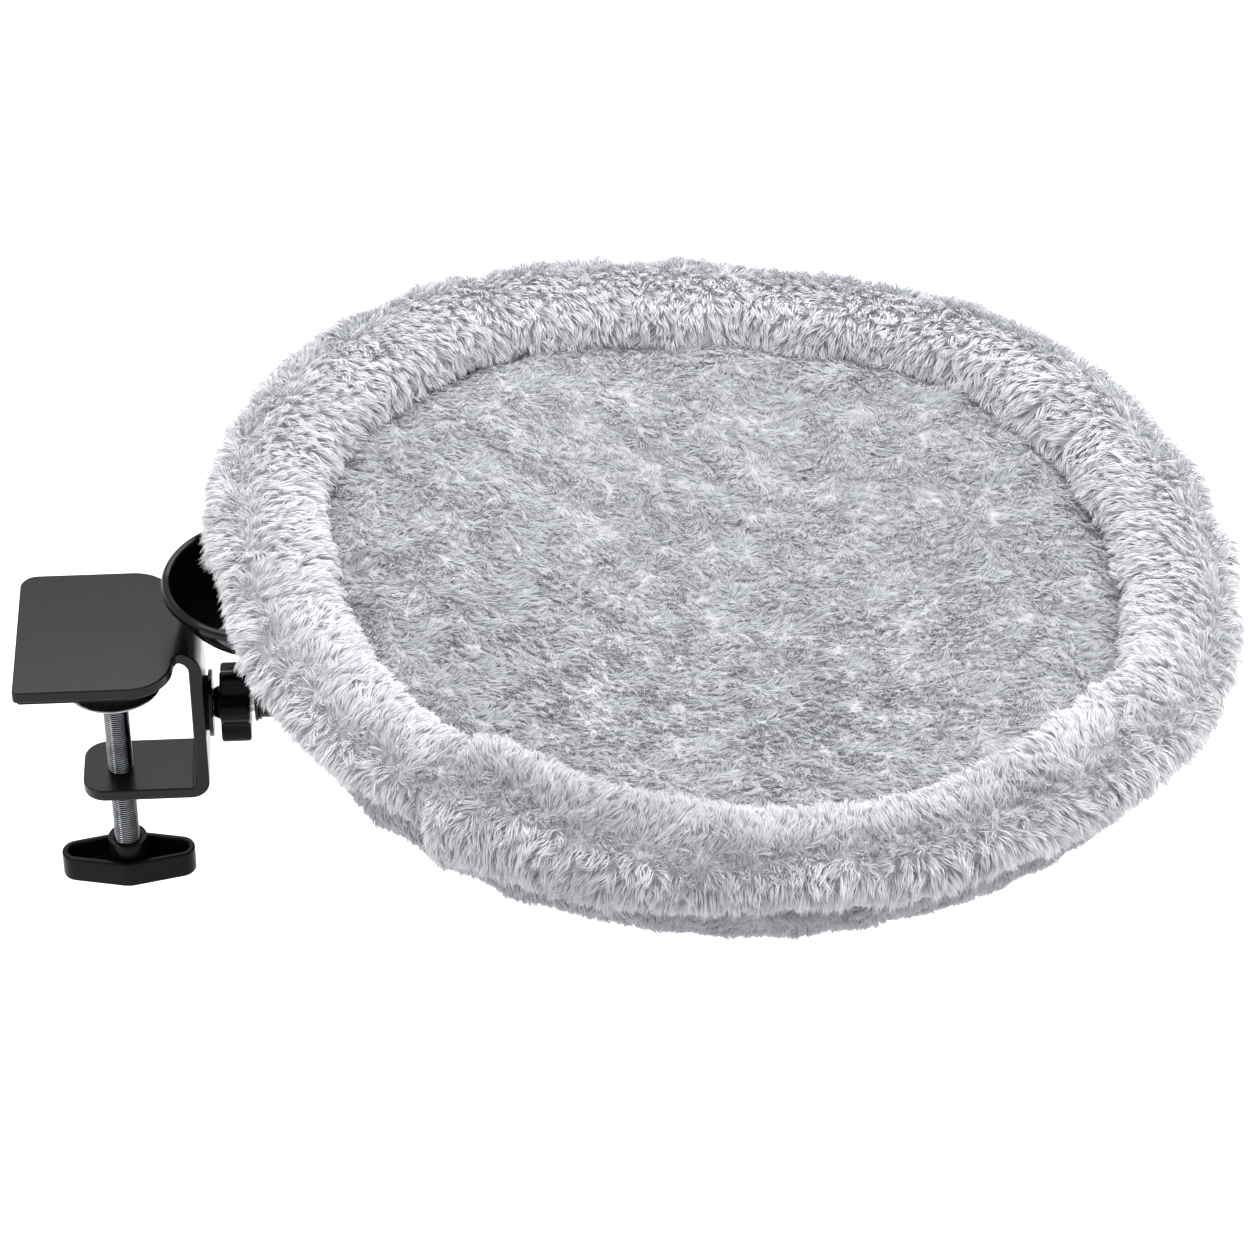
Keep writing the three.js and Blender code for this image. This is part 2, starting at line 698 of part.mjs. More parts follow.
/** Turned post between the tube and the dish, its foot hollowed to the tube. */
function dishPost() {
  const shaft = turned([
    [0, armAxisZ],
    [postRadius, armAxisZ],
    [postRadius, dishFloorZ - postFlangeThickness - screwChamfer],
    [postFlangeRadius, dishFloorZ - postFlangeThickness],
    [postFlangeRadius, dishFloorZ],
    [0, dishFloorZ],
  ], smallFacets);
  const seat = rod(tubeRadius + seatGap, -postFlangeRadius - overrun, postFlangeRadius + overrun, tubeFacets);
  seat.rotateY(Math.PI / 2).translate(0, 0, armAxisZ);
  const bore = rod(dishScrewRadius + seatGap, dishFloorZ - dishScrewLength - seatGap, dishFloorZ + overrun, fewFacets);
  return carve(shaft, [], [seat, bore]);
}

/** A round-headed screw pointing down from a seat at z = 0. */
function panScrew(radius, length, headRadius, headHeight) {
  return turned([
    [0, -length],
    [radius - screwChamfer / 2, -length],
    [radius, screwChamfer / 2 - length],
    [radius, 0],
    [headRadius, 0],
    [headRadius, headHeight / 3],
    [headRadius * screwHeadCrownShare, headHeight],
    [0, headHeight],
  ], fewFacets);
}

// Bed

/** Everything that the dish keeps free of plush, in the bed's own frame. */
function dishRoom() {
  const room = rod(dishRadius + softGap, armAxisZ - tubeRadius, dishRimZ + softGap, 36);
  room.translate(dishX - bedCentreX, 0, -bedCentreZ);
  return room.rotateY(-bedTilt);
}

/** Section of the roll at an angle round the bed: a flat ellipse that puckers a little as it goes round. */
function rollRing(angle, swell, sides) {
  const pucker = rollPuckerDepth * Math.cos(rollPuckers * angle);
  return Array.from({ length: sides }, (_, j) => {
    const turn = (2 * Math.PI * j) / sides;
    const across = (rollHalfWidth + pucker) * swell * Math.cos(turn);
    const up = (rollHalfHeight + pucker) * swell * Math.sin(turn);
    return around(angle, rollCentreRadius + across, rollCentreZ + up);
  });
}

/** The roll runs once round the bed and ends in two rounded ends under the cuff. */
function bolsterRoll() {
  const halfGap = rollEndGap / 2 / rollCentreRadius;
  const joint = (cuffStartAngle + cuffEndAngle) / 2;
  const start = joint + halfGap;
  const end = joint + 2 * Math.PI - halfGap;
  const endRound = rollEndRound / rollCentreRadius;
  const steps = hoopFacets;
  const angles = [];
  for (let i = 0; i <= steps; i += 1) angles.push(start + endRound + ((end - start - 2 * endRound) * i) / steps);
  const rings = [
    rollRing(start, rollEndShare, rollSides),
    rollRing(start + endRound * rollEndShoulderPlaceShare, rollEndShoulderShare, rollSides),
    ...angles.map((angle) => rollRing(angle, 1, rollSides)),
    rollRing(end - endRound * rollEndShoulderPlaceShare, rollEndShoulderShare, rollSides),
    rollRing(end, rollEndShare, rollSides),
  ];
  const bore = new THREE.TorusGeometry(rollCentreRadius, hoopRodRadius + hoopBoreClearance, hoopSides, hoopFacets);
  bore.translate(0, 0, rollCentreZ);
  return carve(loft(rings, false), [], [bore, dishRoom()]);
}

/** Padded outer wall and floor under the roll, hollowed for the roll, the dish and the support screws. */
function bedShell() {
  const outer = bowlCurve(shellRadius, -shellTopDrop, shellFootRadius, -shellDepth, 7);
  const inner = bowlCurve(shellRadius - shellWall, -shellTopDrop, shellFootRadius, shellFloorZ, 5);
  const wall = turned([
    [0, -shellDepth],
    ...outer.reverse(),
    [shellRadius - shellWall / 2, shellWall / 3 - shellTopDrop],
    ...inner,
    [0, shellFloorZ],
  ], hoopFacets);
  const angles = Array.from({ length: hoopFacets }, (_, i) => (2 * Math.PI * i) / hoopFacets);
  const rollRoom = loft(angles.map((angle) => Array.from({ length: rollSides }, (_, j) => {
    const turn = (2 * Math.PI * j) / rollSides;
    const room = rollPuckerDepth + 3 * softGap;
    return around(
      angle,
      rollCentreRadius + (rollHalfWidth + room) * Math.cos(turn),
      rollCentreZ + (rollHalfHeight + room) * Math.sin(turn),
    );
  })), true);
  const holes = supportPlaces().map(([x, y]) => {
    const hole = rod(supportScrewRadius + supportHoleClearance, -shellDepth - overrun, shellFloorZ + overrun, fewFacets);
    return hole.translate(x, y, 0);
  });
  return carve(wall, [], [rollRoom, dishRoom(), ...holes]);
}

// Profile of the loose cushion from the middle of its underside round to the middle of its top, as shares of
// its radius and of its height.
const cushionProfileShares = [
  [0.0, 0.0], [0.78, 0.0], [0.91, 0.06], [0.985, 0.24], [1.0, 0.44], [0.965, 0.66],
  [0.94, 0.8], [0.925, 0.91], [0.88, 0.99], [0.8, 1.0], [0.68, 0.9], [0.5, 0.72], [0.28, 0.56], [0.1, 0.5], [0.0, 0.5],
];

/** Loose cushion: a thick crowned edge, sides drawn in above and below, and a hollow in the middle. */
function floorCushion() {
  const profile = cushionProfileShares.map(([across, up]) => {
    return [cushionRadius * across, cushionBottomZ + cushionHeight * up];
  });
  return carve(turned(profile, 44), [], [dishRoom()]);
}

/** Line that the cuff lies on: over the roll and on down the outer wall, from the inside edge outwards. */
function cuffLine() {
  const off = rollPuckerDepth + 2 * softGap;
  const line = [120, 104, 88, 72, 56, 40, 24, 8, -8, -24, -38].map((degrees) => {
    const turn = THREE.MathUtils.degToRad(degrees);
    return new THREE.Vector2(
      rollCentreRadius + (rollHalfWidth + off) * Math.cos(turn),
      rollCentreZ + (rollHalfHeight + off) * Math.sin(turn),
    );
  });
  const wall = bowlCurve(shellRadius, -shellTopDrop, shellFootRadius, -shellDepth, 12)
    .filter(([, height]) => height < rollCentreZ - rollHalfHeight - softGap && height > -cuffLowerDrop)
    .map(([radius, height]) => new THREE.Vector2(radius + 2 * softGap, height - softGap));
  return [...line, ...wall];
}

/** The cuff: a thick fold at its open end that thins out along the bed. */
function bolsterCuff() {
  const line = cuffLine();
  const normals = line.map((point, i) => {
    const before = line[Math.max(i - 1, 0)];
    const after = line[Math.min(i + 1, line.length - 1)];
    const run = after.clone().sub(before).normalize();
    return new THREE.Vector2(-run.y, run.x);
  });
  const steps = 12;
  const rings = [];
  for (let i = 0; i <= steps; i += 1) {
    const share = i / steps;
    const angle = cuffStartAngle + (cuffEndAngle - cuffStartAngle) * share;
    const fade = cuffTaperedThickness + (cuffThickness - cuffTaperedThickness) * (1 - share) ** cuffFadePower;
    const nose = Math.min(1, cuffNoseShare + (1 - cuffNoseShare) * share / cuffNoseLengthShare);
    const thickness = fade * nose;
    const under = line.map((point) => around(angle, point.x, point.y));
    const over = line.map((point, j) => {
      const edge = j === 0 || j === line.length - 1 ? cuffEdgeShare : 1;
      return around(angle, point.x + normals[j].x * thickness * edge, point.y + normals[j].y * thickness * edge);
    });
    rings.push([...under, ...over.reverse()]);
  }
  return loft(rings, false);
}

/** Steel rod hoop inside the roll. */
function rimHoop() {
  return new THREE.TorusGeometry(rollCentreRadius, hoopRodRadius, hoopSides, hoopFacets).translate(0, 0, rollCentreZ);
}

/** Pressed sleeve over the joint of the hoop, between the two ends of the roll. */
function hoopFerrule() {
  const joint = (cuffStartAngle + cuffEndAngle) / 2;
  const length = rollEndGap - 2 * seatGap;
  const inner = ferruleRadius - ferruleWall;
  const sleeve = turnedRing([
    [inner, -length / 2],
    [ferruleRadius, -length / 2],
    [ferruleRadius, length / 2],
    [inner, length / 2],
  ], fewFacets);
  return sleeve.rotateX(Math.PI / 2).rotateZ(joint).translate(
    rollCentreRadius * Math.cos(joint),
    rollCentreRadius * Math.sin(joint),
    rollCentreZ,
  );
}

/** Places of the four support screws round the middle of the bed. */
function supportPlaces() {
  return [45, 135, 225, 315].map((degrees) => {
    const angle = THREE.MathUtils.degToRad(degrees);
    return [supportHoleCircle * Math.cos(angle), supportHoleCircle * Math.sin(angle)];
  });
}

function baseBoard() {
  const disc = rod(boardRadius, boardBottomZ, boardTopZ, 40);
  const holes = supportPlaces().map(([x, y]) => {
    const hole = rod(teeBarrelRadius + seatGap, boardBottomZ - overrun, boardTopZ + overrun, 16);
    return hole.translate(x, y, 0);
  });
  return carve(disc, [], holes);
}

function supportPlate() {
  const disc = turned([
    [0, supportBottomZ],
    [supportRadius - supportThickness / 3, supportBottomZ],
    [supportRadius, supportBottomZ + supportThickness / 3],
    [supportRadius, supportTopZ - supportThickness / 3],
    [supportRadius - supportThickness / 3, supportTopZ],
    [0, supportTopZ],
  ], 40);
  const holes = supportPlaces().map(([x, y]) => {
    const hole = rod(supportScrewRadius + supportHoleClearance, supportBottomZ - overrun, supportTopZ + overrun, fewFacets);
    return hole.translate(x, y, 0);
  });
  return carve(disc, [], holes);
}

/** Block between the support plate and the tube, hollowed to the tube. */
function saddle(centreX) {
  const top = supportBottomZ - seatGap;
  const half = saddleWidth / 2;
  const foot = tubeRadius + steelThickness * saddleSeatShare;
  const shape = new THREE.Shape();
  shape.moveTo(-half, top);
  shape.lineTo(-foot, tubeAxisBedZ);
  shape.lineTo(foot, tubeAxisBedZ);
  shape.lineTo(half, top);
  shape.closePath();
  const block = new THREE.ExtrudeGeometry(shape, { depth: saddleLength, bevelEnabled: false });
  block.rotateX(Math.PI / 2).rotateZ(Math.PI / 2).translate(centreX - saddleLength / 2, 0, 0);
  const seat = rod(tubeRadius + seatGap, -saddleLength, saddleLength, tubeFacets);
  seat.rotateY(Math.PI / 2).translate(centreX, 0, tubeAxisBedZ);
  return carve(block, [], [seat]);
}

/** Screw up through the plate and the floor of the bed into the tee nut. */
function supportScrew() {
  const length = supportThickness + shellFloor + boardThickness;
  const screw = panScrew(supportScrewRadius, length, supportScrewHeadRadius, supportScrewHeadHeight);
  return screw.rotateX(Math.PI).translate(0, 0, supportBottomZ - seatGap);
}

function teeNut() {
  const bore = supportScrewRadius + seatGap;
  const flangeZ = boardTopZ + seatGap;
  return turnedRing([
    [bore, flangeZ - teeBarrelLength],
    [teeBarrelRadius, flangeZ - teeBarrelLength],
    [teeBarrelRadius, flangeZ],
    [teeFlangeRadius, flangeZ],
    [teeFlangeRadius, flangeZ + teeFlangeThickness],
    [bore, flangeZ + teeFlangeThickness],
  ], fewFacets);
}

// Assembly

const bed = new THREE.Group();
bed.position.set(bedCentreX, 0, bedCentreZ);
bed.rotation.y = bedTilt;
bed.add(
  piece("bolster_roll", bolsterRoll(), "plush"),
  piece("bolster_cuff", bolsterCuff(), "plush"),
  piece("bed_shell", bedShell(), "plushShade"),
  piece("floor_cushion", floorCushion(), "plush"),
  piece("rim_hoop", rimHoop(), "springSteel"),
  piece("hoop_ferrule", hoopFerrule(), "springSteel"),
  piece("base_board", baseBoard(), "plywood"),
  piece("support_plate", supportPlate(), "powderBlack"),
  piece("saddle_near", saddle(-saddleSpacing / 2), "powderBlack"),
  piece("saddle_far", saddle(saddleSpacing / 2), "powderBlack"),
  piece("arm_end_cap", armEndCap(), "plasticBlack"),
);
supportPlaces().forEach(([x, y], i) => {
  const screw = piece(`support_screw_${i + 1}`, supportScrew(), "zinc");
  const nut = piece(`tee_nut_${i + 1}`, teeNut(), "zinc");
  screw.position.set(x, y, 0);
  nut.position.set(x, y, 0);
  bed.add(screw, nut);
});

const dish = new THREE.Group();
dish.position.x = dishX;
const dishScrew = piece(
  "dish_screw",
  panScrew(dishScrewRadius, dishScrewLength, dishScrewHeadRadius, dishScrewHeadHeight),
  "zinc",
);
dishScrew.position.z = dishFloorZ + dishWall;
dish.add(piece("rim_dish", rimDish(), "glossBlack"), piece("dish_post", dishPost(), "powderBlack"), dishScrew);

const jawRubber = rod(jawRubberRadius, padTopZ, jawRubberTopZ, 36);

const deskBed = new THREE.Group();
deskBed.add(
  piece("clamp_bracket", clampBracket(), "powderBlack"),
  piece("desk_pad", deskPad(), "rubber"),
  piece("pressure_pad", pressurePad(), "zinc"),
  piece("jaw_rubber", jawRubber, "rubber"),
  piece("clamp_screw", clampScrew(), "zinc"),
  piece("clamp_handle", clampHandle(), "plasticBlack"),
  piece("friction_washer", washer(frictionWasherRadius, webOuterX, frictionWasherX), "fibre"),
  piece("steel_washer", washer(steelWasherRadius, frictionWasherX, steelWasherX), "powderBlack"),
  piece("lock_knob", lockKnob(), "plasticBlack"),
  piece("knob_insert", knobInsert(), "brass"),
  piece("arm_stud", armStud(), "zinc"),
  piece("arm_collar", armCollar(), "powderBlack"),
  piece("arm_tube", armTube(), "powderBlack"),
  dish,
  bed,
);

export default deskBed;
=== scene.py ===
"""Desk-clamp pet bed: a bent steel clamp, a tilting tube arm with a rim dish, and a round plush bed.

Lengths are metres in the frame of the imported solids. The origin is the middle of the clamp plate's
contact face on the desk, +X runs along the arm to the bed, and +Z is up.
"""

import logging
import math
from dataclasses import dataclass, field
from enum import Enum
from typing import Callable, Optional

import bmesh
import bpy
import numpy as np
from mathutils import Matrix, Vector, kdtree


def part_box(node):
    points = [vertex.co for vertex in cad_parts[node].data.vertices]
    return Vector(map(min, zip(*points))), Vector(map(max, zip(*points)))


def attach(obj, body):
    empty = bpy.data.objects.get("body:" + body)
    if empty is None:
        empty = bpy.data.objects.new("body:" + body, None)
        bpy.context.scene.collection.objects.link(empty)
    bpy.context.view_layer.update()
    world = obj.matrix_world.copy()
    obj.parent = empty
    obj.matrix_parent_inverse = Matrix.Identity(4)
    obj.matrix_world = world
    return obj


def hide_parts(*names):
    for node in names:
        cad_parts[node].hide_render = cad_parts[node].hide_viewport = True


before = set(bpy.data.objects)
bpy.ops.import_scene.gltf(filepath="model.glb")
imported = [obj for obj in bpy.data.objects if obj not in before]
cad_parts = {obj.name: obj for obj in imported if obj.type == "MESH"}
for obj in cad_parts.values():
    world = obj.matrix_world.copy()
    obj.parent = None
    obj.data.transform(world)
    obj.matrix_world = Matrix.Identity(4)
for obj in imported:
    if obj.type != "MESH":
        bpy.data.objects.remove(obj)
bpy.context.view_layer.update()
LOG = logging.getLogger("desk_bed")
ARM_AXIS_Z = -0.037
STUD_BORE = 0.0053  # radius of every bore that the stud goes through
TINY = 1e-7  # metres under which two places count as one

Array = np.ndarray
Colour = tuple[float, float, float, float]


class Body(str, Enum):
    """The rigid bodies that pieces ride on."""

    CLAMP = "clamp"
    JAW = "jaw"
    PRESS_SCREW = "press_screw"
    ARM = "arm"
    LOCK_WASHER = "lock_washer"
    KNOB = "knob"


class Axis(Enum):
    """Which way a turned piece points."""

    UP = "up"
    ALONG_ARM = "along_arm"


def paint(code: str) -> Colour:
    """A linear colour from a display colour written as six hexadecimal digits.

    Args:
        code: red, green and blue, two digits each.

    Returns:
        The linear colour with full alpha.
    """
    parts = [int(code[i:i + 2], 16) / 255 for i in (0, 2, 4)]
    linear = [p / 12.92 if p <= 0.04045 else ((p + 0.055) / 1.055) ** 2.4 for p in parts]
    return (linear[0], linear[1], linear[2], 1.0)


# Materials


class Bench:
    """One material being mixed, with short ways to add its nodes and join them."""

    def __init__(self, name: str) -> None:
        """Starts a material that holds only its surface shader.

        Args:
            name: the material's name.
        """
        self.material = bpy.data.materials.new(name)
        self.material.use_nodes = True
        self.tree = self.material.node_tree
        self.surface = next(n for n in self.tree.nodes if n.type == "BSDF_PRINCIPLED")
        self.place = self.add("ShaderNodeTexCoord").outputs["Object"]

    def add(self, kind: str, settings: Optional[dict] = None, **options: object) -> bpy.types.Node:
        """Adds a node.

        Args:
            kind: Blender's name of the node type.
            settings: socket name or index to its value.
            options: properties of the node itself.

        Returns:
            The new node.
        """
        node = self.tree.nodes.new(kind)
        for key, value in options.items():
            setattr(node, key, value)
        for key, value in (settings or {}).items():
            node.inputs[key].default_value = value
        return node

    def join(self, source: bpy.types.NodeSocket, target: bpy.types.NodeSocket) -> None:
        """Links one socket to another."""
        self.tree.links.new(source, target)

    def fix(self, values: dict) -> None:
        """Sets sockets of the surface shader that are the same all over."""
        for key, value in values.items():
            self.surface.inputs[key].default_value = value

    def noise(self, scale: float, detail: float = 3.0, roughness: float = 0.55,
              place: Optional[bpy.types.NodeSocket] = None) -> bpy.types.NodeSocket:
        """A cloudy pattern.

        Args:
            scale: cells for each metre.
            detail: how many finer layers it has.
            roughness: how strong the finer layers are.
            place: the coordinates, which are the piece's own if left out.

        Returns:
            The pattern's value.
        """
        node = self.add("ShaderNodeTexNoise", {"Scale": scale, "Detail": detail, "Roughness": roughness})
        self.join(place or self.place, node.inputs["Vector"])
        return node.outputs["Fac"]

    def stretched(self, scale: tuple[float, float, float]) -> bpy.types.NodeSocket:
        """The piece's coordinates, scaled differently along each axis.

        Args:
            scale: factors along X, Y and Z.

        Returns:
            The coordinates.
        """
        node = self.add("ShaderNodeMapping", {"Scale": scale})
        self.join(self.place, node.inputs["Vector"])
        return node.outputs["Vector"]

    def ramp(self, value: bpy.types.NodeSocket, stops: list[tuple[float, Colour]]) -> bpy.types.NodeSocket:
        """Turns a value into a colour.

        Args:
            value: what picks the colour.
            stops: places from 0 to 1 with their colours.

        Returns:
            The colour.
        """
        node = self.add("ShaderNodeValToRGB")
        bar = node.color_ramp.elements
        while len(bar) < len(stops):
            bar.new(0.5)
        for element, (place, colour) in zip(bar, stops):
            element.position = place
            element.color = colour
        self.join(value, node.inputs["Fac"])
        return node.outputs["Color"]

    def span(self, value: bpy.types.NodeSocket, low: float, high: float) -> bpy.types.NodeSocket:
        """Spreads the middle of a pattern's values between two numbers.

        Args:
            value: the pattern.
            low: what its lower values become.
            high: what its higher values become.

        Returns:
            The spread values.
        """
        node = self.add("ShaderNodeMapRange",
                        {"From Min": 0.3, "From Max": 0.7, "To Min": low, "To Max": high})
        self.join(value, node.inputs["Value"])
        return node.outputs["Result"]

    def relief(self, height: bpy.types.NodeSocket, depth: float, strength: float = 1.0) -> None:
        """Adds fine relief over what the surface already has.

        Args:
            height: the pattern.
            depth: metres from its lowest to its highest.
            strength: how fully it shows.
        """
        node = self.add("ShaderNodeBump", {"Strength": strength, "Distance": depth})
        self.join(height, node.inputs["Height"])
        before = self.surface.inputs["Normal"]
        if before.is_linked:
            self.join(before.links[0].from_socket, node.inputs["Normal"])
        self.join(node.outputs["Normal"], before)


# Sockets of a Mix node that mixes colours, by number because their names repeat.
SHARE, COLOUR_A, COLOUR_B, MIXED = 0, 6, 7, 2


@dataclass(frozen=True)
class CoatFinish:
    """Paint, enamel, rubber, fibre or moulded plastic: one colour with fine grain and uneven gloss."""

    name: str
    slot: str
    dark: str
    light: str
    gloss: tuple[float, float]
    grain: float
    grain_depth: float
    specular: float
    clouds: float = 38.0  # patches of uneven colour in a metre
    smears: float = 210.0  # patches of uneven gloss in a metre

    def mix(self) -> bpy.types.Material:
        """Mixes the material.

        Returns:
            The material.
        """
        bench = Bench(self.name)
        broad = bench.noise(self.clouds, 4.0)
        bench.join(bench.ramp(broad, [(0.3, paint(self.dark)), (0.7, paint(self.light))]),
                   bench.surface.inputs["Base Color"])
        bench.join(bench.span(bench.noise(self.smears, 5.0), *self.gloss), bench.surface.inputs["Roughness"])
        bench.relief(bench.noise(self.grain, 2.0, 0.5), self.grain_depth)
        bench.relief(bench.noise(self.grain / 9, 2.0, 0.5), self.grain_depth * 3, 0.5)
        bench.fix({"Specular IOR Level": self.specular})
        return bench.material


@dataclass(frozen=True)
class MetalFinish:
    """Bare or plated metal with drawn or turned lines."""

    name: str
    slot: str
    dark: str
    light: str
    gloss: tuple[float, float]
    lines: tuple[float, float, float]
    line_depth: float
    groove_shade: str = ""  # the colour painted into the roots of a thread as painted shade, where it has them
    clouds: float = 160.0  # patches of uneven colour in a metre

    def mix(self) -> bpy.types.Material:
        """Mixes the material.

        Returns:
            The material.
        """
        bench = Bench(self.name)
        drawn = bench.noise(1.0, 3.0, 0.6, bench.stretched(self.lines))
        cloud = bench.noise(self.clouds, 4.0)
        colour = bench.ramp(cloud, [(0.3, paint(self.dark)), (0.72, paint(self.light))])
        # painted shade: a thread's roots are painted dark, more so the deeper they lie
        if self.groove_shade:
            depth = bench.add("ShaderNodeAttribute", attribute_name="groove_shade").outputs["Fac"]
            both = bench.add("ShaderNodeMix", {COLOUR_B: paint(self.groove_shade)}, data_type="RGBA")
            bench.join(depth, both.inputs[SHARE])
            bench.join(colour, both.inputs[COLOUR_A])
            colour = both.outputs[MIXED]
        bench.join(colour, bench.surface.inputs["Base Color"])
        bench.join(bench.span(drawn, *self.gloss), bench.surface.inputs["Roughness"])
        bench.relief(drawn, self.line_depth, 0.6)
        bench.fix({"Metallic": 1.0})
        return bench.material


@dataclass(frozen=True)
class PlyFinish:
    """Sanded plywood: long grain on the faces and thin layers at the edge."""

    name: str
    slot: str

    def mix(self) -> bpy.types.Material:
        """Mixes the material.

        Returns:
            The material.
        """
        bench = Bench(self.name)
        grain = bench.noise(1.0, 6.0, 0.65, bench.stretched((14.0, 190.0, 500.0)))
        colour = bench.ramp(grain, [(0.3, paint("A67C4E")), (0.55, paint("C9A777")), (0.75, paint("DCC095"))])
        bench.join(colour, bench.surface.inputs["Base Color"])
        bench.relief(grain, 0.0002, 0.5)
        bench.fix({"Roughness": 0.7})
        return bench.material


@dataclass(frozen=True)
class BackingFinish:
    """Knitted backing that the pile grows from: soft, mottled and looped."""

    name: str
    slot: str
    dark: str
    light: str

    def mix(self) -> bpy.types.Material:
        """Mixes the material.

        Returns:
            The material.
        """
        bench = Bench(self.name)
        tufts = bench.noise(260.0, 5.0, 0.7)
        bench.join(bench.ramp(tufts, [(0.32, paint(self.dark)), (0.7, paint(self.light))]),
                   bench.surface.inputs["Base Color"])
        bench.relief(tufts, 0.0016)
        bench.relief(bench.noise(900.0, 2.0), 0.0004, 0.6)
        bench.fix({"Roughness": 0.95, "Sheen Weight": 0.25, "Sheen Roughness": 0.6,
                   "Specular IOR Level": 0.2})
        return bench.material


@dataclass(frozen=True)
class ClothFinish:
    """Plain woven underside cloth."""

    name: str
    slot: str
    dark: str
    light: str
    threads: float  # in a metre

    def mix(self) -> bpy.types.Material:
        """Mixes the material.

        Returns:
            The material.
        """
        bench = Bench(self.name)
        thread = {"Scale": self.threads / 6.28, "Distortion": 0.6, "Detail": 1.0}  # its scale counts radians
        warp, weft = (bench.add("ShaderNodeTexWave", thread, bands_direction=way) for way in "XY")
        for wave in (warp, weft):
            bench.join(bench.place, wave.inputs["Vector"])
        weave = bench.add("ShaderNodeMath", operation="MULTIPLY")
        bench.join(warp.outputs["Fac"], weave.inputs[0])
        bench.join(weft.outputs["Fac"], weave.inputs[1])
        cloud = bench.noise(45.0, 4.0)
        tone = bench.add("ShaderNodeMath", {1: 0.5}, operation="MULTIPLY_ADD")
        bench.join(weave.outputs[0], tone.inputs[0])
        bench.join(cloud, tone.inputs[2])
        bench.join(bench.ramp(tone.outputs[0], [(0.35, paint(self.dark)), (0.95, paint(self.light))]),
                   bench.surface.inputs["Base Color"])
        bench.relief(weave.outputs[0], 0.0003)
        bench.fix({"Roughness": 0.9, "Sheen Weight": 0.15, "Specular IOR Level": 0.25})
        return bench.material


@dataclass(frozen=True)
class PileFinish:
    """Plush fibres: painted shade at the root that pales towards the tip, and a tone that differs a little
    from tuft to tuft and carries the painted shade and highlight of each stretch.
    """

    name: str
    slot: str
    root: str
    middle: str
    tip: str

    def mix(self) -> bpy.types.Material:
        """Mixes the material.

        Returns:
            The material.
        """
        bench = Bench(self.name)
        along = bench.add("ShaderNodeAttribute", attribute_name="along").outputs["Fac"]
        tone = bench.add("ShaderNodeAttribute", attribute_name="tone").outputs["Fac"]
        # painted shade: the colour darkens from the tip down to the root, where the fibres shade each other
        length = bench.ramp(along, [(0.05, paint(self.root)), (0.45, paint(self.middle)),
                                    (0.9, paint(self.tip))])
        # the tone darkens the colour: random tone, and the painted shade and highlight that the combing gives
        shade = bench.ramp(tone, [(0.0, (0.62, 0.625, 0.65, 1.0)), (0.5, (0.93, 0.93, 0.935, 1.0)),
                                  (1.0, (1, 1, 1, 1))])
        both = bench.add("ShaderNodeMix", {SHARE: 1.0}, data_type="RGBA", blend_type="MULTIPLY")
        bench.join(length, both.inputs[COLOUR_A])
        bench.join(shade, both.inputs[COLOUR_B])
        bench.join(both.outputs[MIXED], bench.surface.inputs["Base Color"])
        bench.fix({"Roughness": 0.8, "Sheen Weight": 0.3, "Sheen Roughness": 0.5,
                   "Specular IOR Level": 0.25})
        return bench.material


class Finish(Enum):
    """Every finish on the object."""

    POWDER_BLACK = CoatFinish("black_powder_coat", "powder_black", "0D0D0E", "121213", gloss=(0.2, 0.27),
                              grain=1900.0, grain_depth=0.000008, specular=0.215)
    GLOSS_BLACK = CoatFinish("black_enamel", "gloss_black", "0A0A0B", "0D0D0E", gloss=(0.08, 0.12),
                             grain=700.0, grain_depth=0.000006, specular=0.2)
    PLASTIC_BLACK = CoatFinish("moulded_black", "plastic_black", "0B0B0C", "101011", gloss=(0.18, 0.26),
                               grain=2600.0, grain_depth=0.000015, specular=0.09)
    RUBBER_BLACK = CoatFinish("soft_black_rubber", "rubber_black", "101011", "19191A", gloss=(0.7, 0.9),
                              grain=1500.0, grain_depth=0.0001, specular=0.2)
    FIBRE = CoatFinish("pressed_fibre", "fibre", "161617", "222223", gloss=(0.75, 0.9),
                       grain=1400.0, grain_depth=0.0001, specular=0.2)
    ZINC = MetalFinish("zinc_plate", "zinc", "8A8C90", "AEB0B4", (0.1, 0.22), (900.0, 900.0, 90.0), 0.00002)
    # ZINC_THREAD is the same zinc painted darker than ZINC as painted shade, with painted shade in its
    # thread's roots
    ZINC_THREAD = MetalFinish("zinc_thread", "zinc", "707276", "9DA0A4", (0.1, 0.2), (900.0, 900.0, 90.0),
                              0.00002, groove_shade="0C0D0E")
    BRASS = MetalFinish("turned_brass", "brass", "B08F4C", "D9BD7C", (0.2, 0.34), (300.0, 1500.0, 1500.0),
                        0.00002)
    SPRING_STEEL = MetalFinish("drawn_spring_steel", "spring_steel", "7D8084", "A5A8AC", (0.25, 0.4),
                               (60.0, 60.0, 900.0), 0.00002)
    PLYWOOD = PlyFinish("sanded_plywood", "plywood")
    BACKING = BackingFinish("plush_backing", "plush", "B2B3B9", "D4D5DA")
    # SHELL_BACKING and SHELL_PILE are painted darker than the rim's plush: painted shade on the lower wall
    SHELL_BACKING = BackingFinish("shell_backing", "plush_shell", "A3A4AA", "C6C7CC")
    UNDERSIDE = ClothFinish("underside_cloth", "plush_shell", "6E7077", "8D8F96", 2200.0)
    PILE = PileFinish("plush_pile", "plush", "CBCCD1", "E3E4E8", "F4F4F7")
    SHELL_PILE = PileFinish("shell_pile", "plush_shell", "B4B5BB", "D2D3D8", "E7E8EB")

    @property
    def material(self) -> bpy.types.Material:
        """The mixed material, made once."""
        made = bpy.data.materials.get(self.value.name)
        return made or self.value.mix()


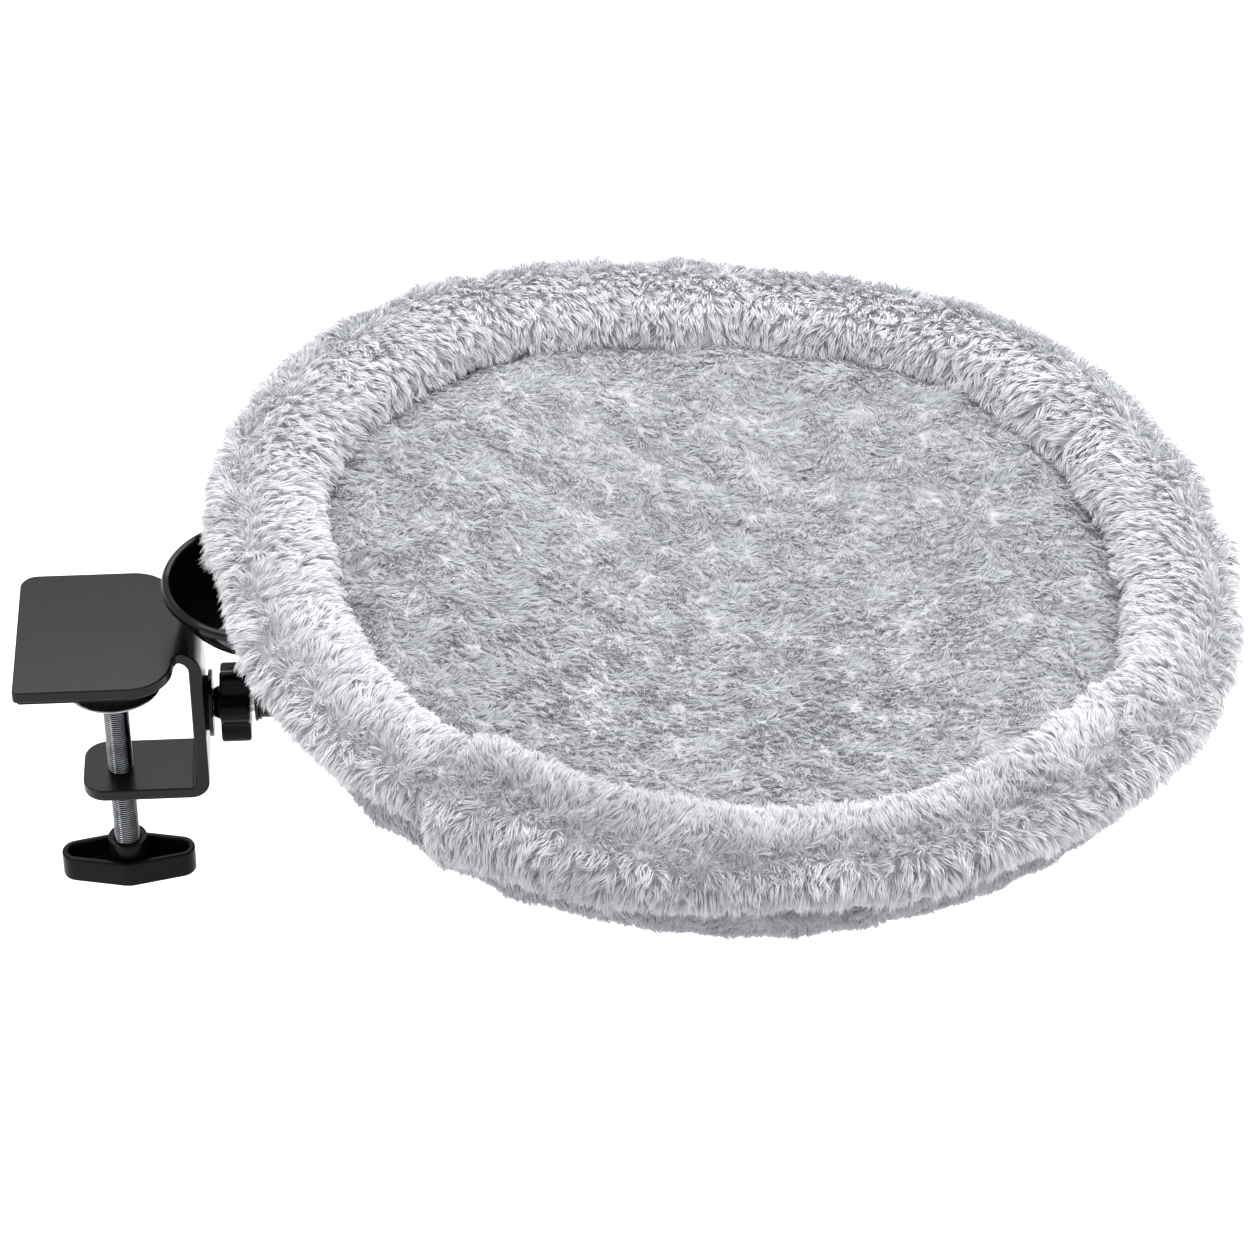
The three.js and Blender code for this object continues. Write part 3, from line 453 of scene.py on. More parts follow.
def dress(node: str, finish: Finish) -> None:
    """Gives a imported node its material.

    Args:
        node: the node's name.
        finish: what it is made of.
    """
    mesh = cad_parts[node].data
    mesh.materials.clear()
    mesh.materials.append(finish.material)


# Meshes


def make(name: str, points: Array, faces: list, finish: Finish, body: Body,
         stands_for: tuple[str, ...] = (), crease: float = 32.0) -> bpy.types.Object:
    """Makes one piece of the object, smooth shaded with its sharp edges kept.

    Args:
        name: the piece's name.
        points: vertices in the frame.
        faces: vertex numbers of each face.
        finish: what it is made of.
        body: the rigid body that it rides on.
        stands_for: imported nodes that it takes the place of.
        crease: the angle in degrees over which an edge stays sharp.

    Returns:
        The piece.
    """
    mesh = bpy.data.meshes.new(name)
    mesh.from_pydata([tuple(p) for p in np.asarray(points, float)], [], faces)
    solid = bmesh.new()
    solid.from_mesh(mesh)
    bmesh.ops.remove_doubles(solid, verts=solid.verts, dist=TINY)
    bmesh.ops.recalc_face_normals(solid, faces=solid.faces)
    solid.to_mesh(mesh)
    solid.free()
    mesh.polygons.foreach_set("use_smooth", [True] * len(mesh.polygons))
    mesh.set_sharp_from_angle(angle=math.radians(crease))
    mesh.materials.append(finish.material)
    piece = bpy.data.objects.new(name, mesh)
    bpy.context.scene.collection.objects.link(piece)
    even = piece.modifiers.new("even_normals", "WEIGHTED_NORMAL")
    even.keep_sharp = True
    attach(piece, body.value)
    if stands_for:
        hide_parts(*stands_for)
    LOG.info("%s: %d points", name, len(mesh.vertices))
    return piece


def eased(line: list[tuple[float, float]], radius: float, steps: int = 3) -> list[tuple[float, float]]:
    """Rounds the inner corners of a line.

    Args:
        line: corner points.
        radius: the most that a corner is cut back along each of its sides.
        steps: segments in each corner.

    Returns:
        The line with its corners rounded.
    """
    most = 0.45  # of a side's length, so that two corners on it don't meet
    points = [np.array(p, float) for p in line]
    out = [points[0]]
    for before, corner, after in zip(points, points[1:], points[2:]):
        into, away = before - corner, after - corner
        reach = min(radius, most * np.linalg.norm(into), most * np.linalg.norm(away))
        first = corner + into / max(np.linalg.norm(into), 1e-9) * reach
        last = corner + away / max(np.linalg.norm(away), 1e-9) * reach
        for i in range(steps + 1):
            t = i / steps
            out.append((1 - t) ** 2 * first + 2 * t * (1 - t) * corner + t * t * last)
    out.append(points[-1])
    return [tuple(p) for p in out]


def stack(rings: list[Array], looped: bool = False) -> tuple[Array, list]:
    """Skins a run of rings, and closes its two ends or joins them.

    Args:
        rings: points of each ring, all of one count.
        looped: whether the last ring joins the first.

    Returns:
        Points and faces.
    """
    sides, count = len(rings[0]), len(rings)
    faces = []
    for i in range(count if looped else count - 1):
        a, b = i * sides, ((i + 1) % count) * sides
        faces += [(a + j, a + (j + 1) % sides, b + (j + 1) % sides, b + j) for j in range(sides)]
    points = np.concatenate(rings)
    if not looped:
        faces.append(tuple(range(sides))[::-1])
        faces.append(tuple((count - 1) * sides + j for j in range(sides)))
    return points, faces


def turned(profile: list[tuple[float, float]], axis: Axis = Axis.UP, sides: int = 72,
           centre: tuple[float, float] = (0.0, 0.0)) -> tuple[Array, list]:
    """Revolves a line of radius and height.

    Args:
        profile: radius and height, from one end to the other. It is closed flat at both ends.
        axis: which way its height points.
        sides: facets round it.
        centre: where its axis stands, in X and Y, for a piece that points up.

    Returns:
        Points and faces.
    """
    angles = np.linspace(0, 2 * math.pi, sides, endpoint=False)
    rings = []
    for radius, height in profile:
        radius = max(radius, 1e-5)  # a ring needs some width
        across, up = radius * np.cos(angles), radius * np.sin(angles)
        if axis is Axis.UP:
            rings.append(np.stack([across + centre[0], up + centre[1], np.full(sides, height)], 1))
        else:
            rings.append(np.stack([np.full(sides, height), across, up + ARM_AXIS_Z], 1))
    return stack(rings)


def collar(inner: float, outer: float, low: float, high: float,
           ease: float) -> list[tuple[float, float]]:
    """Profile of a ring with eased edges, starting and ending inside its bore.

    Args:
        inner: radius of its bore.
        outer: its own radius.
        low: where it starts on its axis.
        high: where it ends.
        ease: how far its edges are rounded.

    Returns:
        Radius and height of each corner.
    """
    middle = (low + high) / 2
    line = [(inner, middle), (inner, low), (outer, low), (outer, high), (inner, high), (inner, middle)]
    return eased(line, ease)


def arc(centre: tuple[float, float], radius: float, start: float, end: float,
        steps: int) -> list[tuple[float, float]]:
    """Points on part of a circle, with its angles in degrees."""
    turns = np.radians(np.linspace(start, end, steps + 1))
    return [(centre[0] + radius * math.cos(t), centre[1] + radius * math.sin(t)) for t in turns]


def slab(outline: list[tuple[float, float]], low: float, high: float, ease: float,
         cuts: tuple[float, ...] = ()) -> bmesh.types.BMesh:
    """A flat plate with eased edges.

    Args:
        outline: its plan.
        low: height of its underside.
        high: height of its top.
        ease: how far its edges are rounded.
        cuts: places along X where its faces are split.

    Returns:
        The plate, to be changed or kept.
    """
    plate = bmesh.new()
    face = plate.faces.new([plate.verts.new((x, y, low)) for x, y in outline])
    made = bmesh.ops.extrude_face_region(plate, geom=[face])
    bmesh.ops.translate(plate, vec=(0, 0, high - low),
                        verts=[g for g in made["geom"] if isinstance(g, bmesh.types.BMVert)])
    rim = [e for e in plate.edges if abs(e.verts[0].co.z - e.verts[1].co.z) < TINY]
    bmesh.ops.bevel(plate, geom=rim, offset=ease, segments=3, profile=0.5, affect="EDGES")
    for x in cuts:
        bmesh.ops.bisect_plane(plate, geom=plate.verts[:] + plate.edges[:] + plate.faces[:], dist=TINY,
                               plane_co=(x, 0, 0), plane_no=(1, 0, 0))
    return plate


def parts_of(mesh: bmesh.types.BMesh) -> tuple[Array, list]:
    """Points and faces of a mesh in the making, which is then dropped.

    They are sorted by place, because the order in which faces are split changes from run to run.

    Args:
        mesh: the mesh.

    Returns:
        Points and faces.
    """
    mesh.verts.index_update()
    points = np.array([v.co[:] for v in mesh.verts])
    faces = [tuple(v.index for v in f.verts) for f in mesh.faces]
    mesh.free()
    order = np.lexsort(points.T)
    number = np.argsort(order)
    return points[order], sorted(tuple(int(number[i]) for i in face) for face in faces)


def joined(*pieces: tuple[Array, list]) -> tuple[Array, list]:
    """Several sets of points and faces as one.

    Args:
        pieces: the sets.

    Returns:
        Points and faces.
    """
    points, faces, count = [], [], 0
    for some, theirs in pieces:
        points.append(np.asarray(some))
        faces += [tuple(i + count for i in f) for f in theirs]
        count += len(some)
    return np.concatenate(points), faces


def smooth(knots: Array, before: int, share: float) -> Array:
    """A point on the smooth curve through some knots.

    Args:
        knots: the places that the curve goes through.
        before: number of the knot before the point.
        share: how far on towards the next knot it is, from 0 to 1.

    Returns:
        The point.
    """
    last = len(knots) - 1
    p = [knots[max(before - 1, 0)], knots[before], knots[before + 1], knots[min(before + 2, last)]]
    return 0.5 * (2 * p[1] + (p[2] - p[0]) * share + (2 * p[0] - 5 * p[1] + 4 * p[2] - p[3]) * share ** 2
                  + (3 * p[1] - p[0] - 3 * p[2] + p[3]) * share ** 3)


# Clamp, press, lock and arm


@dataclass
class ClampHead:
    """The bent strip that hooks over the desk, with the pad under its plate and a washer on its web."""

    plate_length: float = 0.085
    plate_depth: float = 0.088
    steel: float = 0.006
    pad: float = 0.002
    upper_bend: float = 0.012
    lower_bend: float = 0.009
    height: float = 0.0875
    tab_length: float = 0.060
    strap: float = 0.038
    neck: float = 0.0125
    shoulder: float = 0.020
    near_corner: float = 0.002
    far_corner: float = 0.008
    tab_corner: float = 0.011
    edge: float = 0.0009
    upper_cuts: int = 15  # where the faces are split over each bend
    lower_cuts: int = 13
    pad_inset: float = 0.0015
    pad_length: float = 0.0695
    pad_edge: float = 0.0004
    washer_radius: float = 0.013
    washer_sides: tuple[float, float] = (0.0425, 0.044)
    washer_edge: float = 0.0003

    def outline(self, inset: float, end: float) -> list[tuple[float, float]]:
        """Plan of the plate, with its neck where it reaches that far.

        Args:
            inset: how far inside the plate's own edge it runs.
            end: where it stops, from the free edge.

        Returns:
            The plan, starting at the near corner of the free edge.
        """
        half, strap = self.plate_depth / 2 - inset, self.strap / 2
        shoulder = min(self.plate_length - self.neck - inset, end)
        corner, fillet = self.shoulder - inset, self.plate_depth / 2 - strap - self.shoulder
        near, far = self.near_corner, self.far_corner
        plan = arc((inset + near, near - half), near, 180, 270, 4)
        plan += arc((shoulder - corner, corner - half), corner, -90, 0, 16)
        if end > shoulder:
            plan += arc((shoulder + fillet, -strap - fillet), fillet, 180, 90, 8)[1:]
            plan += self.tail(end)
            plan += arc((shoulder + fillet, strap + fillet), fillet, -90, -180, 8)[:-1]
        plan += arc((shoulder - corner, half - corner), corner, 0, 90, 16)
        plan += arc((inset + far, half - far), far, 90, 180, 8)
        return plan

    def tail(self, end: float) -> list[tuple[float, float]]:
        """The tab's rounded free end, from the near side round to the far side."""
        x, y, corner = end - self.tab_corner, self.strap / 2 - self.tab_corner, self.tab_corner
        return arc((x, -y), corner, -90, 0, 12) + arc((x, y), corner, 0, 90, 12)

    def runs(self) -> tuple[float, float, float, float]:
        """Lengths along the strip: the flat of the plate, its bend, the web and the lower bend."""
        return (self.plate_length - self.upper_bend, self.upper_bend * math.pi / 2,
                self.height - self.upper_bend - self.lower_bend, self.lower_bend * math.pi / 2)

    def fold(self, points: Array) -> Array:
        """Folds the flat strip at its two bends.

        Args:
            points: along the strip, across it, and from its inner to its outer face.

        Returns:
            The points in the frame.
        """
        web_x, top = self.plate_length / 2, self.pad + self.steel
        level, upper, web, lower = self.runs()
        out = np.empty_like(points)
        for i, (run, across, out_by) in enumerate(points):
            deep = self.steel - out_by
            if run < level:
                x, z = run - self.plate_length / 2, top - deep
            elif run < level + upper:
                turn = (run - level) / self.upper_bend
                reach = self.upper_bend - deep
                x = web_x - self.upper_bend + reach * math.sin(turn)
                z = top - self.upper_bend + reach * math.cos(turn)
            elif run < level + upper + web:
                x, z = web_x - deep, top - self.upper_bend - (run - level - upper)
            elif run < level + upper + web + lower:
                turn = (run - level - upper - web) / self.lower_bend
                reach = self.lower_bend - deep
                x = web_x - self.lower_bend + reach * math.cos(turn)
                z = top - self.height + self.lower_bend - reach * math.sin(turn)
            else:
                x = web_x - self.lower_bend - (run - level - upper - web - lower)
                z = top - self.height + deep
            out[i] = (x, across, z)
        return out

    def build(self) -> None:
        """Builds the strip, its desk pad and the friction washer."""
        level, upper, web, lower = self.runs()
        end = level + upper + web + lower + self.tab_length - self.lower_bend
        cuts = (*np.linspace(level, level + upper, self.upper_cuts),
                *np.linspace(level + upper + web, level + upper + web + lower, self.lower_cuts))
        points, faces = parts_of(slab(self.outline(0.0, end), 0.0, self.steel, self.edge, cuts))
        make("clamp_strip", self.fold(points), faces, Finish.POWDER_BLACK, Body.CLAMP, ("clamp_bracket",))
        plan = self.outline(self.pad_inset, self.pad_length)
        pad, faces = parts_of(slab(plan, 0.0, self.pad, self.pad_edge))
        pad[:, 0] -= self.plate_length / 2
        make("desk_face_pad", pad, faces, Finish.RUBBER_BLACK, Body.CLAMP, ("desk_pad",))
        washer = turned(collar(STUD_BORE, self.washer_radius, *self.washer_sides, self.washer_edge),
                        Axis.ALONG_ARM)
        make("fibre_washer", *washer, Finish.FIBRE, Body.CLAMP, ("friction_washer",))


@dataclass
class ScrewPress:
    """The threaded screw with its swivel pad and its boat-shaped handle."""

    screw_radius: float = 0.006
    core: float = 0.0046
    pitch: float = 0.00125
    thread_depth: float = 0.00068
    runout: float = 0.0012
    facets: int = 40
    levels: int = 8  # in one turn of the thread
    handle_span: float = 0.0245
    waist: float = 0.013
    end_round: float = 0.0075
    wall: float = 0.003
    floor: float = 0.003
    hub: float = 0.0094
    hub_bore: float = 0.0064
    shoulder: float = 0.0093  # from the pad's seat down to where the thread ends
    saucer: tuple[tuple[float, float], ...] = (  # the swivel pad's radius, and how deep under its seat
        (0.0, 0.0024), (0.0044, 0.0024), (0.0044, 0.0088), (0.0084, 0.0088), (0.0084, 0.0036),
        (0.0128, 0.0036), (0.0182, 0.0064), (0.0214, 0.0078), (0.0226, 0.0079), (0.0229, 0.0071),
        (0.0222, 0.0064), (0.0196, 0.0054), (0.0146, 0.0008), (0.0138, 0.0), (0.0, 0.0))
    tip: tuple[tuple[float, float], ...] = (  # the screw's swivel end, in the same way
        (0.0033, 0.0068), (0.0042, 0.0058), (0.0042, 0.0034), (0.0034, 0.0027), (0.0, 0.0027))
    rubber: tuple[float, float] = (0.0135, 0.0015)  # radius and thickness
    seat_gap: float = 0.00002

    def thread(self, low: float, high: float) -> tuple[Array, list]:
        """A right-hand thread about the Z axis.

        Args:
            low: height of its foot.
            high: height of its shoulder.

        Returns:
            Points and faces.
        """
        angles = np.linspace(0, 2 * math.pi, self.facets, endpoint=False)

        def ring(radius: float | Array, height: float) -> Array:
            """One level of the screw."""
            return np.stack([radius * np.cos(angles), radius * np.sin(angles),
                             np.full(self.facets, height)], 1)

        rings = [ring(self.core, low)]
        for height in np.arange(low, high, self.pitch / self.levels):
            phase = (height / self.pitch - angles / (2 * math.pi)) % 1.0
            depth = np.clip(np.abs(phase - 0.5) * 4.0 - 0.6, 0, 1)  # a trapezoid: crest, flank and root
            full = min(1.0, (high - height) / self.runout, (height - low) / self.runout)
            rings.append(ring(self.screw_radius - self.thread_depth * np.maximum(depth, 1 - full), height))
        rings.append(ring(self.core, high))
        return stack(rings)

    def mark_grooves(self, mesh: bpy.types.Mesh) -> None:
        """Stores how deep in the thread each point lies, from 0 on a crest to 1 at a root, which sets the
        painted shade in its roots.

        Args:
            mesh: the screw's mesh.
        """
        points = np.empty(len(mesh.vertices) * 3)
        mesh.vertices.foreach_get("co", points)
        points = points.reshape(-1, 3)
        depth = (self.screw_radius - np.hypot(points[:, 0], points[:, 1])) / self.thread_depth
        layer = mesh.attributes.new("groove_shade", "FLOAT", "POINT")
        layer.data.foreach_set("value", np.clip(depth * 1.6 - 0.3, 0, 1).astype(np.float32))

    def boat(self, inset: float, height: float) -> Array:
        """One level of the handle: a wide circle and two small end circles joined by tangents.

        Args:
            inset: how far inside the handle's own edge it runs.
            height: of the level.

        Returns:
            Its points.
        """
        waist, end = self.waist - inset, self.end_round - inset
        lean = math.degrees(math.acos((waist - end) / self.handle_span))
        plan = arc((self.handle_span, 0), end, -lean, lean, 20)
        plan += arc((0, 0), waist, lean, 180 - lean, 8)
        plan += arc((-self.handle_span, 0), end, 180 - lean, 180 + lean, 20)
        plan += arc((0, 0), waist, 180 + lean, 360 - lean, 8)
        return np.array([(x, y, height) for x, y in plan])

    def handle(self, low: float, high: float) -> tuple[Array, list]:
        """The cupped handle with its hub.

        Args:
            low: height of its underside.
            high: height of its rim.

        Returns:
            Points and faces.
        """
        side = eased([(0.004, low), (0.0, low), (0.0, high), (self.wall, high), (self.wall, low + self.floor),
                      (self.wall + 0.0035, low + self.floor)], 0.0013, 4)
        body = stack([self.boat(inset, height) for inset, height in side])
        foot, mouth, seat = low + 0.001, high + 0.008, high + 0.002
        hub = eased([(0.0, foot), (self.hub, foot), (self.hub, mouth), (self.hub_bore, mouth),
                     (self.hub_bore, seat), (0.0, seat)], 0.0009)
        return joined(body, turned(hub, sides=56))

    def build(self) -> None:
        """Builds the pad, its rubber face, the screw and the handle."""
        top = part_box("pressure_pad")[1].z
        saucer = eased([(radius, top - depth) for radius, depth in self.saucer], 0.0006)
        make("swivel_pad", *turned(saucer, sides=96), Finish.ZINC, Body.JAW, ("pressure_pad",))
        radius, thick = self.rubber
        face = eased([(0.0, top + self.seat_gap), (radius, top + self.seat_gap), (radius, top + thick),
                      (0.0, top + thick)], 0.0004)
        make("jaw_face_rubber", *turned(face), Finish.RUBBER_BLACK, Body.JAW, ("jaw_rubber",))
        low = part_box("clamp_handle")[0].z
        rim, shoulder = low + 0.014, top - self.shoulder
        tip = [(0.0, shoulder - 0.001), (self.tip[0][0], shoulder - 0.001),
               *((radius, top - depth) for radius, depth in self.tip)]
        screw = joined(self.thread(rim + 0.0022, shoulder), turned(eased(tip, 0.0003), sides=32))
        piece = make("press_screw_thread", *screw, Finish.ZINC_THREAD, Body.PRESS_SCREW, ("clamp_screw",),
                     crease=75)
        piece.modifiers.clear()
        self.mark_grooves(piece.data)
        make("boat_handle", *self.handle(low, rim), Finish.PLASTIC_BLACK, Body.PRESS_SCREW,
             ("clamp_handle",))


@dataclass
class TiltLock:
    """The lobed knob that locks the tilt, with its washer."""

    radius: float = 0.019
    lobe: float = 0.0017
    lobes: int = 6
    turned_by: float = math.radians(-21)
    face: float = 0.0495
    end: float = 0.0635
    washer_radius: float = 0.016
    washer_sides: tuple[float, float] = (0.04404, 0.046)  # just clear of the fibre washer
    washer_edge: float = 0.0004
    neck: tuple[tuple[float, float], ...] = (  # radius, and place along the arm's axis
        (STUD_BORE, 0.0462), (0.0066, 0.0461), (0.008, 0.0485), (0.008, 0.051), (STUD_BORE, 0.051))

    def level(self, inset: float, x: float) -> Array:
        """One lobed section of the knob.

        Args:
            inset: how far inside the knob's own edge it runs.
            x: its place along the arm's axis.

        Returns:
            Its points.
        """
        turns = np.linspace(0, 2 * math.pi, self.lobes * 24, endpoint=False)
        wave = np.cos(self.lobes * (turns - self.turned_by))
        radius = self.radius - self.lobe + self.lobe * (1.25 * wave - 0.25 * wave ** 2) - inset
        across, up = radius * np.cos(turns), radius * np.sin(turns)
        return np.stack([np.full(len(turns), x), across, up + ARM_AXIS_Z], 1)

    def build(self) -> None:
        """Builds the washer and the knob, and dresses the nut in it."""
        washer = turned(collar(STUD_BORE, self.washer_radius, *self.washer_sides, self.washer_edge),
                        Axis.ALONG_ARM)
        make("clamp_washer", *washer, Finish.POWDER_BLACK, Body.LOCK_WASHER, ("steel_washer",))
        floor = self.end - 0.0012  # of the shallow dish in its end
        side = eased([(0.0105, self.face), (0.0, self.face), (0.0, self.end), (0.0085, self.end),
                      (0.0094, floor), (0.0105, floor)], 0.0016, 4)
        grip = stack([self.level(inset, x) for inset, x in side])
        neck = turned(eased(list(self.neck), 0.0004), Axis.ALONG_ARM)
        make("lobed_knob", *joined(grip, neck), Finish.PLASTIC_BLACK, Body.KNOB, ("lock_knob",))
        dress("knob_insert", Finish.BRASS)


@dataclass
class ArmAndDish:
    """The tube that carries the bed, and the dish on its post."""

    tube_radius: float = 0.008
    tube_wall: float = 0.0015
    bend_x: float = 0.092
    bend_radius: float = 0.16
    slope: float = math.radians(3.3)
    dish_x: float = 0.072
    dish_rim: float = 0.037
    dish_radius: float = 0.046
    dish_depth: float = 0.028
    dish_wall: float = 0.0015
    dish_side: tuple[tuple[float, float], ...] = (  # shares of the mouth's radius and of the depth
        (0.46, 0.0), (0.62, 0.06), (0.76, 0.2), (0.87, 0.42), (0.95, 0.7), (1.0, 0.95))
    dish_lip: tuple[tuple[float, float], ...] = (  # how far inside the dish's radius and under its rim
        (0.0034, 0.0004), (0.0021, 0.0), (0.0008, 0.0005), (0.0, 0.0017), (0.0, 0.0038), (0.0005, 0.0044),
        (0.0013, 0.0044), (0.0017, 0.0028))
    collar_radius: float = 0.0096
    spigot_radius: float = 0.0062
    spigot_length: float = 0.015
    bead: float = 0.0009
    bead_steps: int = 31  # round the tube, as a weld has them
    dome: tuple[tuple[float, float], ...] = (  # a screw head's shares of its radius and of its height
        (1.0, 0.0), (1.0, 0.35), (0.95, 0.6), (0.82, 0.82), (0.62, 0.95), (0.56, 0.97))
    drive: float = 0.32  # how wide the cross in a screw head is

    def line(self) -> list[tuple[float, float, float]]:
        """Middle line of the tube.

        Returns:
            X, Z and the slope at each point.
        """
        near, far = (corner.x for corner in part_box("arm_tube"))
        start, end = near, far - self.tube_radius * math.sin(self.slope)
        bend = self.bend_x - self.bend_radius * math.tan(self.slope / 2)
        run = [(x, ARM_AXIS_Z, 0.0) for x in np.linspace(start, bend, 4)]
        for turn in np.linspace(0, self.slope, 7)[1:]:
            drop = self.bend_radius * (1 - math.cos(turn))
            run.append((bend + self.bend_radius * math.sin(turn), ARM_AXIS_Z - drop, turn))
        x, z, _ = run[-1]
        for share in np.linspace(0, 1, 9)[1:]:
            run.append((x + (end - x) * share, z - (end - x) * share * math.tan(self.slope), self.slope))
        return run

    def tube(self) -> tuple[Array, list]:
        """The tube, open at both ends with a real wall.

        Returns:
            Points and faces.
        """
        turns = np.linspace(0, 2 * math.pi, 48, endpoint=False)

        def ring(x: float, z: float, slope: float, radius: float) -> Array:
            """One section of the tube, square to its line."""
            up = radius * np.sin(turns)
            return np.stack([x + up * math.sin(slope), radius * np.cos(turns), z + up * math.cos(slope)], 1)

        run = self.line()
        outside = [ring(*place, self.tube_radius) for place in run]
        inside = [ring(*place, self.tube_radius - self.tube_wall) for place in run]
        return stack([*outside, *inside[::-1]], looped=True)

    def dish(self) -> list[tuple[float, float]]:
        """Profile of the dish: round floor, curved side and rolled lip.

        Returns:
            Radius and height, from the middle of its floor over the lip to the middle underneath.
        """
        under, rim = self.dish_rim - self.dish_depth, self.dish_rim
        mouth, floor = self.dish_radius - 0.0042, under + self.dish_wall
        rise = rim - floor
        fine = [(0.0, floor)]
        curve = np.array([(mouth * across, floor + rise * up) for across, up in self.dish_side])
        for place in np.linspace(0, len(curve) - 1, 21):
            before = min(int(place), len(curve) - 2)
            fine.append(tuple(smooth(curve, before, place - before)))
        lip = [(self.dish_radius - inside, rim - below) for inside, below in self.dish_lip]
        # The outside keeps a wall's distance, mostly outwards on the side and mostly down on the floor.
        turn = 6
        outer = [(r + self.dish_wall * 0.9, z - self.dish_wall * 0.4) for r, z in fine[:turn:-1]]
        foot = [(r + self.dish_wall * 0.3, z - self.dish_wall * 0.95) for r, z in fine[turn:1:-1]]
        start = mouth * self.dish_side[0][0] - 0.0015
        return [*fine, *lip, *outer[1:], *foot, (start, under), (0.0, under)]

    def pan_head(self, place: tuple[float, float, float], radius: float, height: float,
                 up: bool) -> tuple[Array, list]:
        """A domed screw head with a cross cut in it.

        Args:
            place: where its seat is.
            radius: of the head.
            height: of the head.
            up: whether it points up.

        Returns:
            Points and faces.
        """
        turns = np.linspace(0, 2 * math.pi, 40, endpoint=False)
        cross = np.abs(np.sin(2 * turns)) < self.drive
        rings = [(share, np.full(len(turns), rise)) for share, rise in self.dome]
        rings += [(0.5, np.where(cross, 0.5, 0.98)), (0.2, np.where(cross, 0.35, 0.98)),
                  (0.12, np.full(len(turns), 0.3))]
        sign = 1 if up else -1
        return stack([np.stack([share * radius * np.cos(turns) + place[0],
                                share * radius * np.sin(turns) + place[1],
                                place[2] + sign * (rise * height)], 1) for share, rise in rings])

    def weld(self, start: float) -> tuple[Array, list]:
        """The weld bead between collar and tube.

        Args:
            start: where the tube starts.

        Returns:
            Points and faces.
        """
        turns = np.linspace(0, 2 * math.pi, 96, endpoint=False)
        swell = self.bead * (1 + 0.12 * np.sin(turns * self.bead_steps))
        loops = []
        for spin in np.linspace(0, 2 * math.pi, 8, endpoint=False):
            radius = self.tube_radius + 0.0001 + swell * math.cos(spin)
            loops.append(np.stack([start + 0.0006 + swell * math.sin(spin), radius * np.cos(turns),
                                   radius * np.sin(turns) + ARM_AXIS_Z], 1))
        return stack(loops, looped=True)

    def build(self) -> None:
        """Builds the collar, tube, dish, post and screw, and dresses the stud."""
        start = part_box("arm_tube")[0].x
        ring = collar(STUD_BORE, self.collar_radius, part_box("arm_collar")[0].x, start - 0.0001, 0.0005)
        spigot = collar(STUD_BORE, self.spigot_radius, start - 0.0002, start + self.spigot_length, 0.0002)
        solid = joined(turned(ring, Axis.ALONG_ARM), turned(spigot, Axis.ALONG_ARM, 40), self.weld(start))
        make("welded_collar", *solid, Finish.POWDER_BLACK, Body.ARM, ("arm_collar",))
        make("bent_tube", *self.tube(), Finish.POWDER_BLACK, Body.ARM, ("arm_tube",))
        centre = (self.dish_x, 0.0)
        make("treat_dish", *turned(self.dish(), sides=128, centre=centre), Finish.GLOSS_BLACK, Body.ARM,
             ("rim_dish",))
        under, seat = self.dish_rim - self.dish_depth, ARM_AXIS_Z + self.tube_radius
        post = eased([(0.0, seat - 0.001), (0.0062, seat - 0.001), (0.0045, seat + 0.0012),
                      (0.0045, under - 0.0042), (0.012, under - 0.003), (0.012, under - 0.0001),
                      (0.0, under - 0.0001)], 0.0008)
        make("turned_post", *turned(post, sides=48, centre=centre), Finish.POWDER_BLACK, Body.ARM,
             ("dish_post",))
        head = self.pan_head((self.dish_x, 0.0, under + self.dish_wall), 0.005, 0.0028, True)
        make("dish_screw_head", *head, Finish.ZINC, Body.ARM, ("dish_screw",))
        dress("arm_stud", Finish.ZINC)


# Plush


class Ripples:
    """A smooth wandering value in space, made of seeded waves."""

    def __init__(self, seed: int, size: float, waves: int = 14) -> None:
        """Picks the waves.

        Args:
            seed: fixes the pattern.
            size: metres from one rise to the next, about.
            waves: how many are added up.
        """
        pick = np.random.default_rng(seed)
        ways = pick.normal(size=(waves, 3))
        ways /= np.linalg.norm(ways, axis=1, keepdims=True)
        self.ways = ways * (2 * math.pi / (size * pick.uniform(0.6, 1.7, (waves, 1))))
        self.phases = pick.uniform(0, 2 * math.pi, waves)

    def at(self, points: Array) -> Array:
        """The value at each point, mostly between -1 and 1."""
        return np.sin(points @ self.ways.T + self.phases).sum(1) / math.sqrt(len(self.phases)) / 1.1


@dataclass
class BedFrame:
    """The bed's own tilted frame: the middle of the bed, with z = 0 at the parting line of the rim's pile."""

    slope: float = math.radians(3.3)
    roll_radius: float = 0.212
    roll_centre: float = -0.013
    origin: Array = field(init=False)

    def __post_init__(self) -> None:
        """Finds the middle of the bed from the hoop inside the roll."""
        low, high = (np.array(corner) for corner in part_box("rim_hoop"))
        up = np.array([math.sin(self.slope), 0.0, math.cos(self.slope)])
        self.origin = (low + high) / 2 - self.roll_centre * up

    def out(self, points: Array) -> Array:
        """Takes points out of the bed's frame.

        Args:
            points: in the bed's frame.

        Returns:
            The same points in the whole object's frame.
        """
        x, y, z = np.asarray(points).T
        c, s = math.cos(self.slope), math.sin(self.slope)
        start = self.origin
        return np.stack([start[0] + x * c + z * s, y + start[1], start[2] - x * s + z * c], 1)

    def back(self, points: Array) -> Array:
        """Takes points into the bed's frame.

        Args:
            points: in the whole object's frame.

        Returns:
            The same points in the bed's frame.
        """
        x, y, z = (np.asarray(points) - self.origin).T
        c, s = math.cos(self.slope), math.sin(self.slope)
        return np.stack([x * c - z * s, y, x * s + z * c], 1)


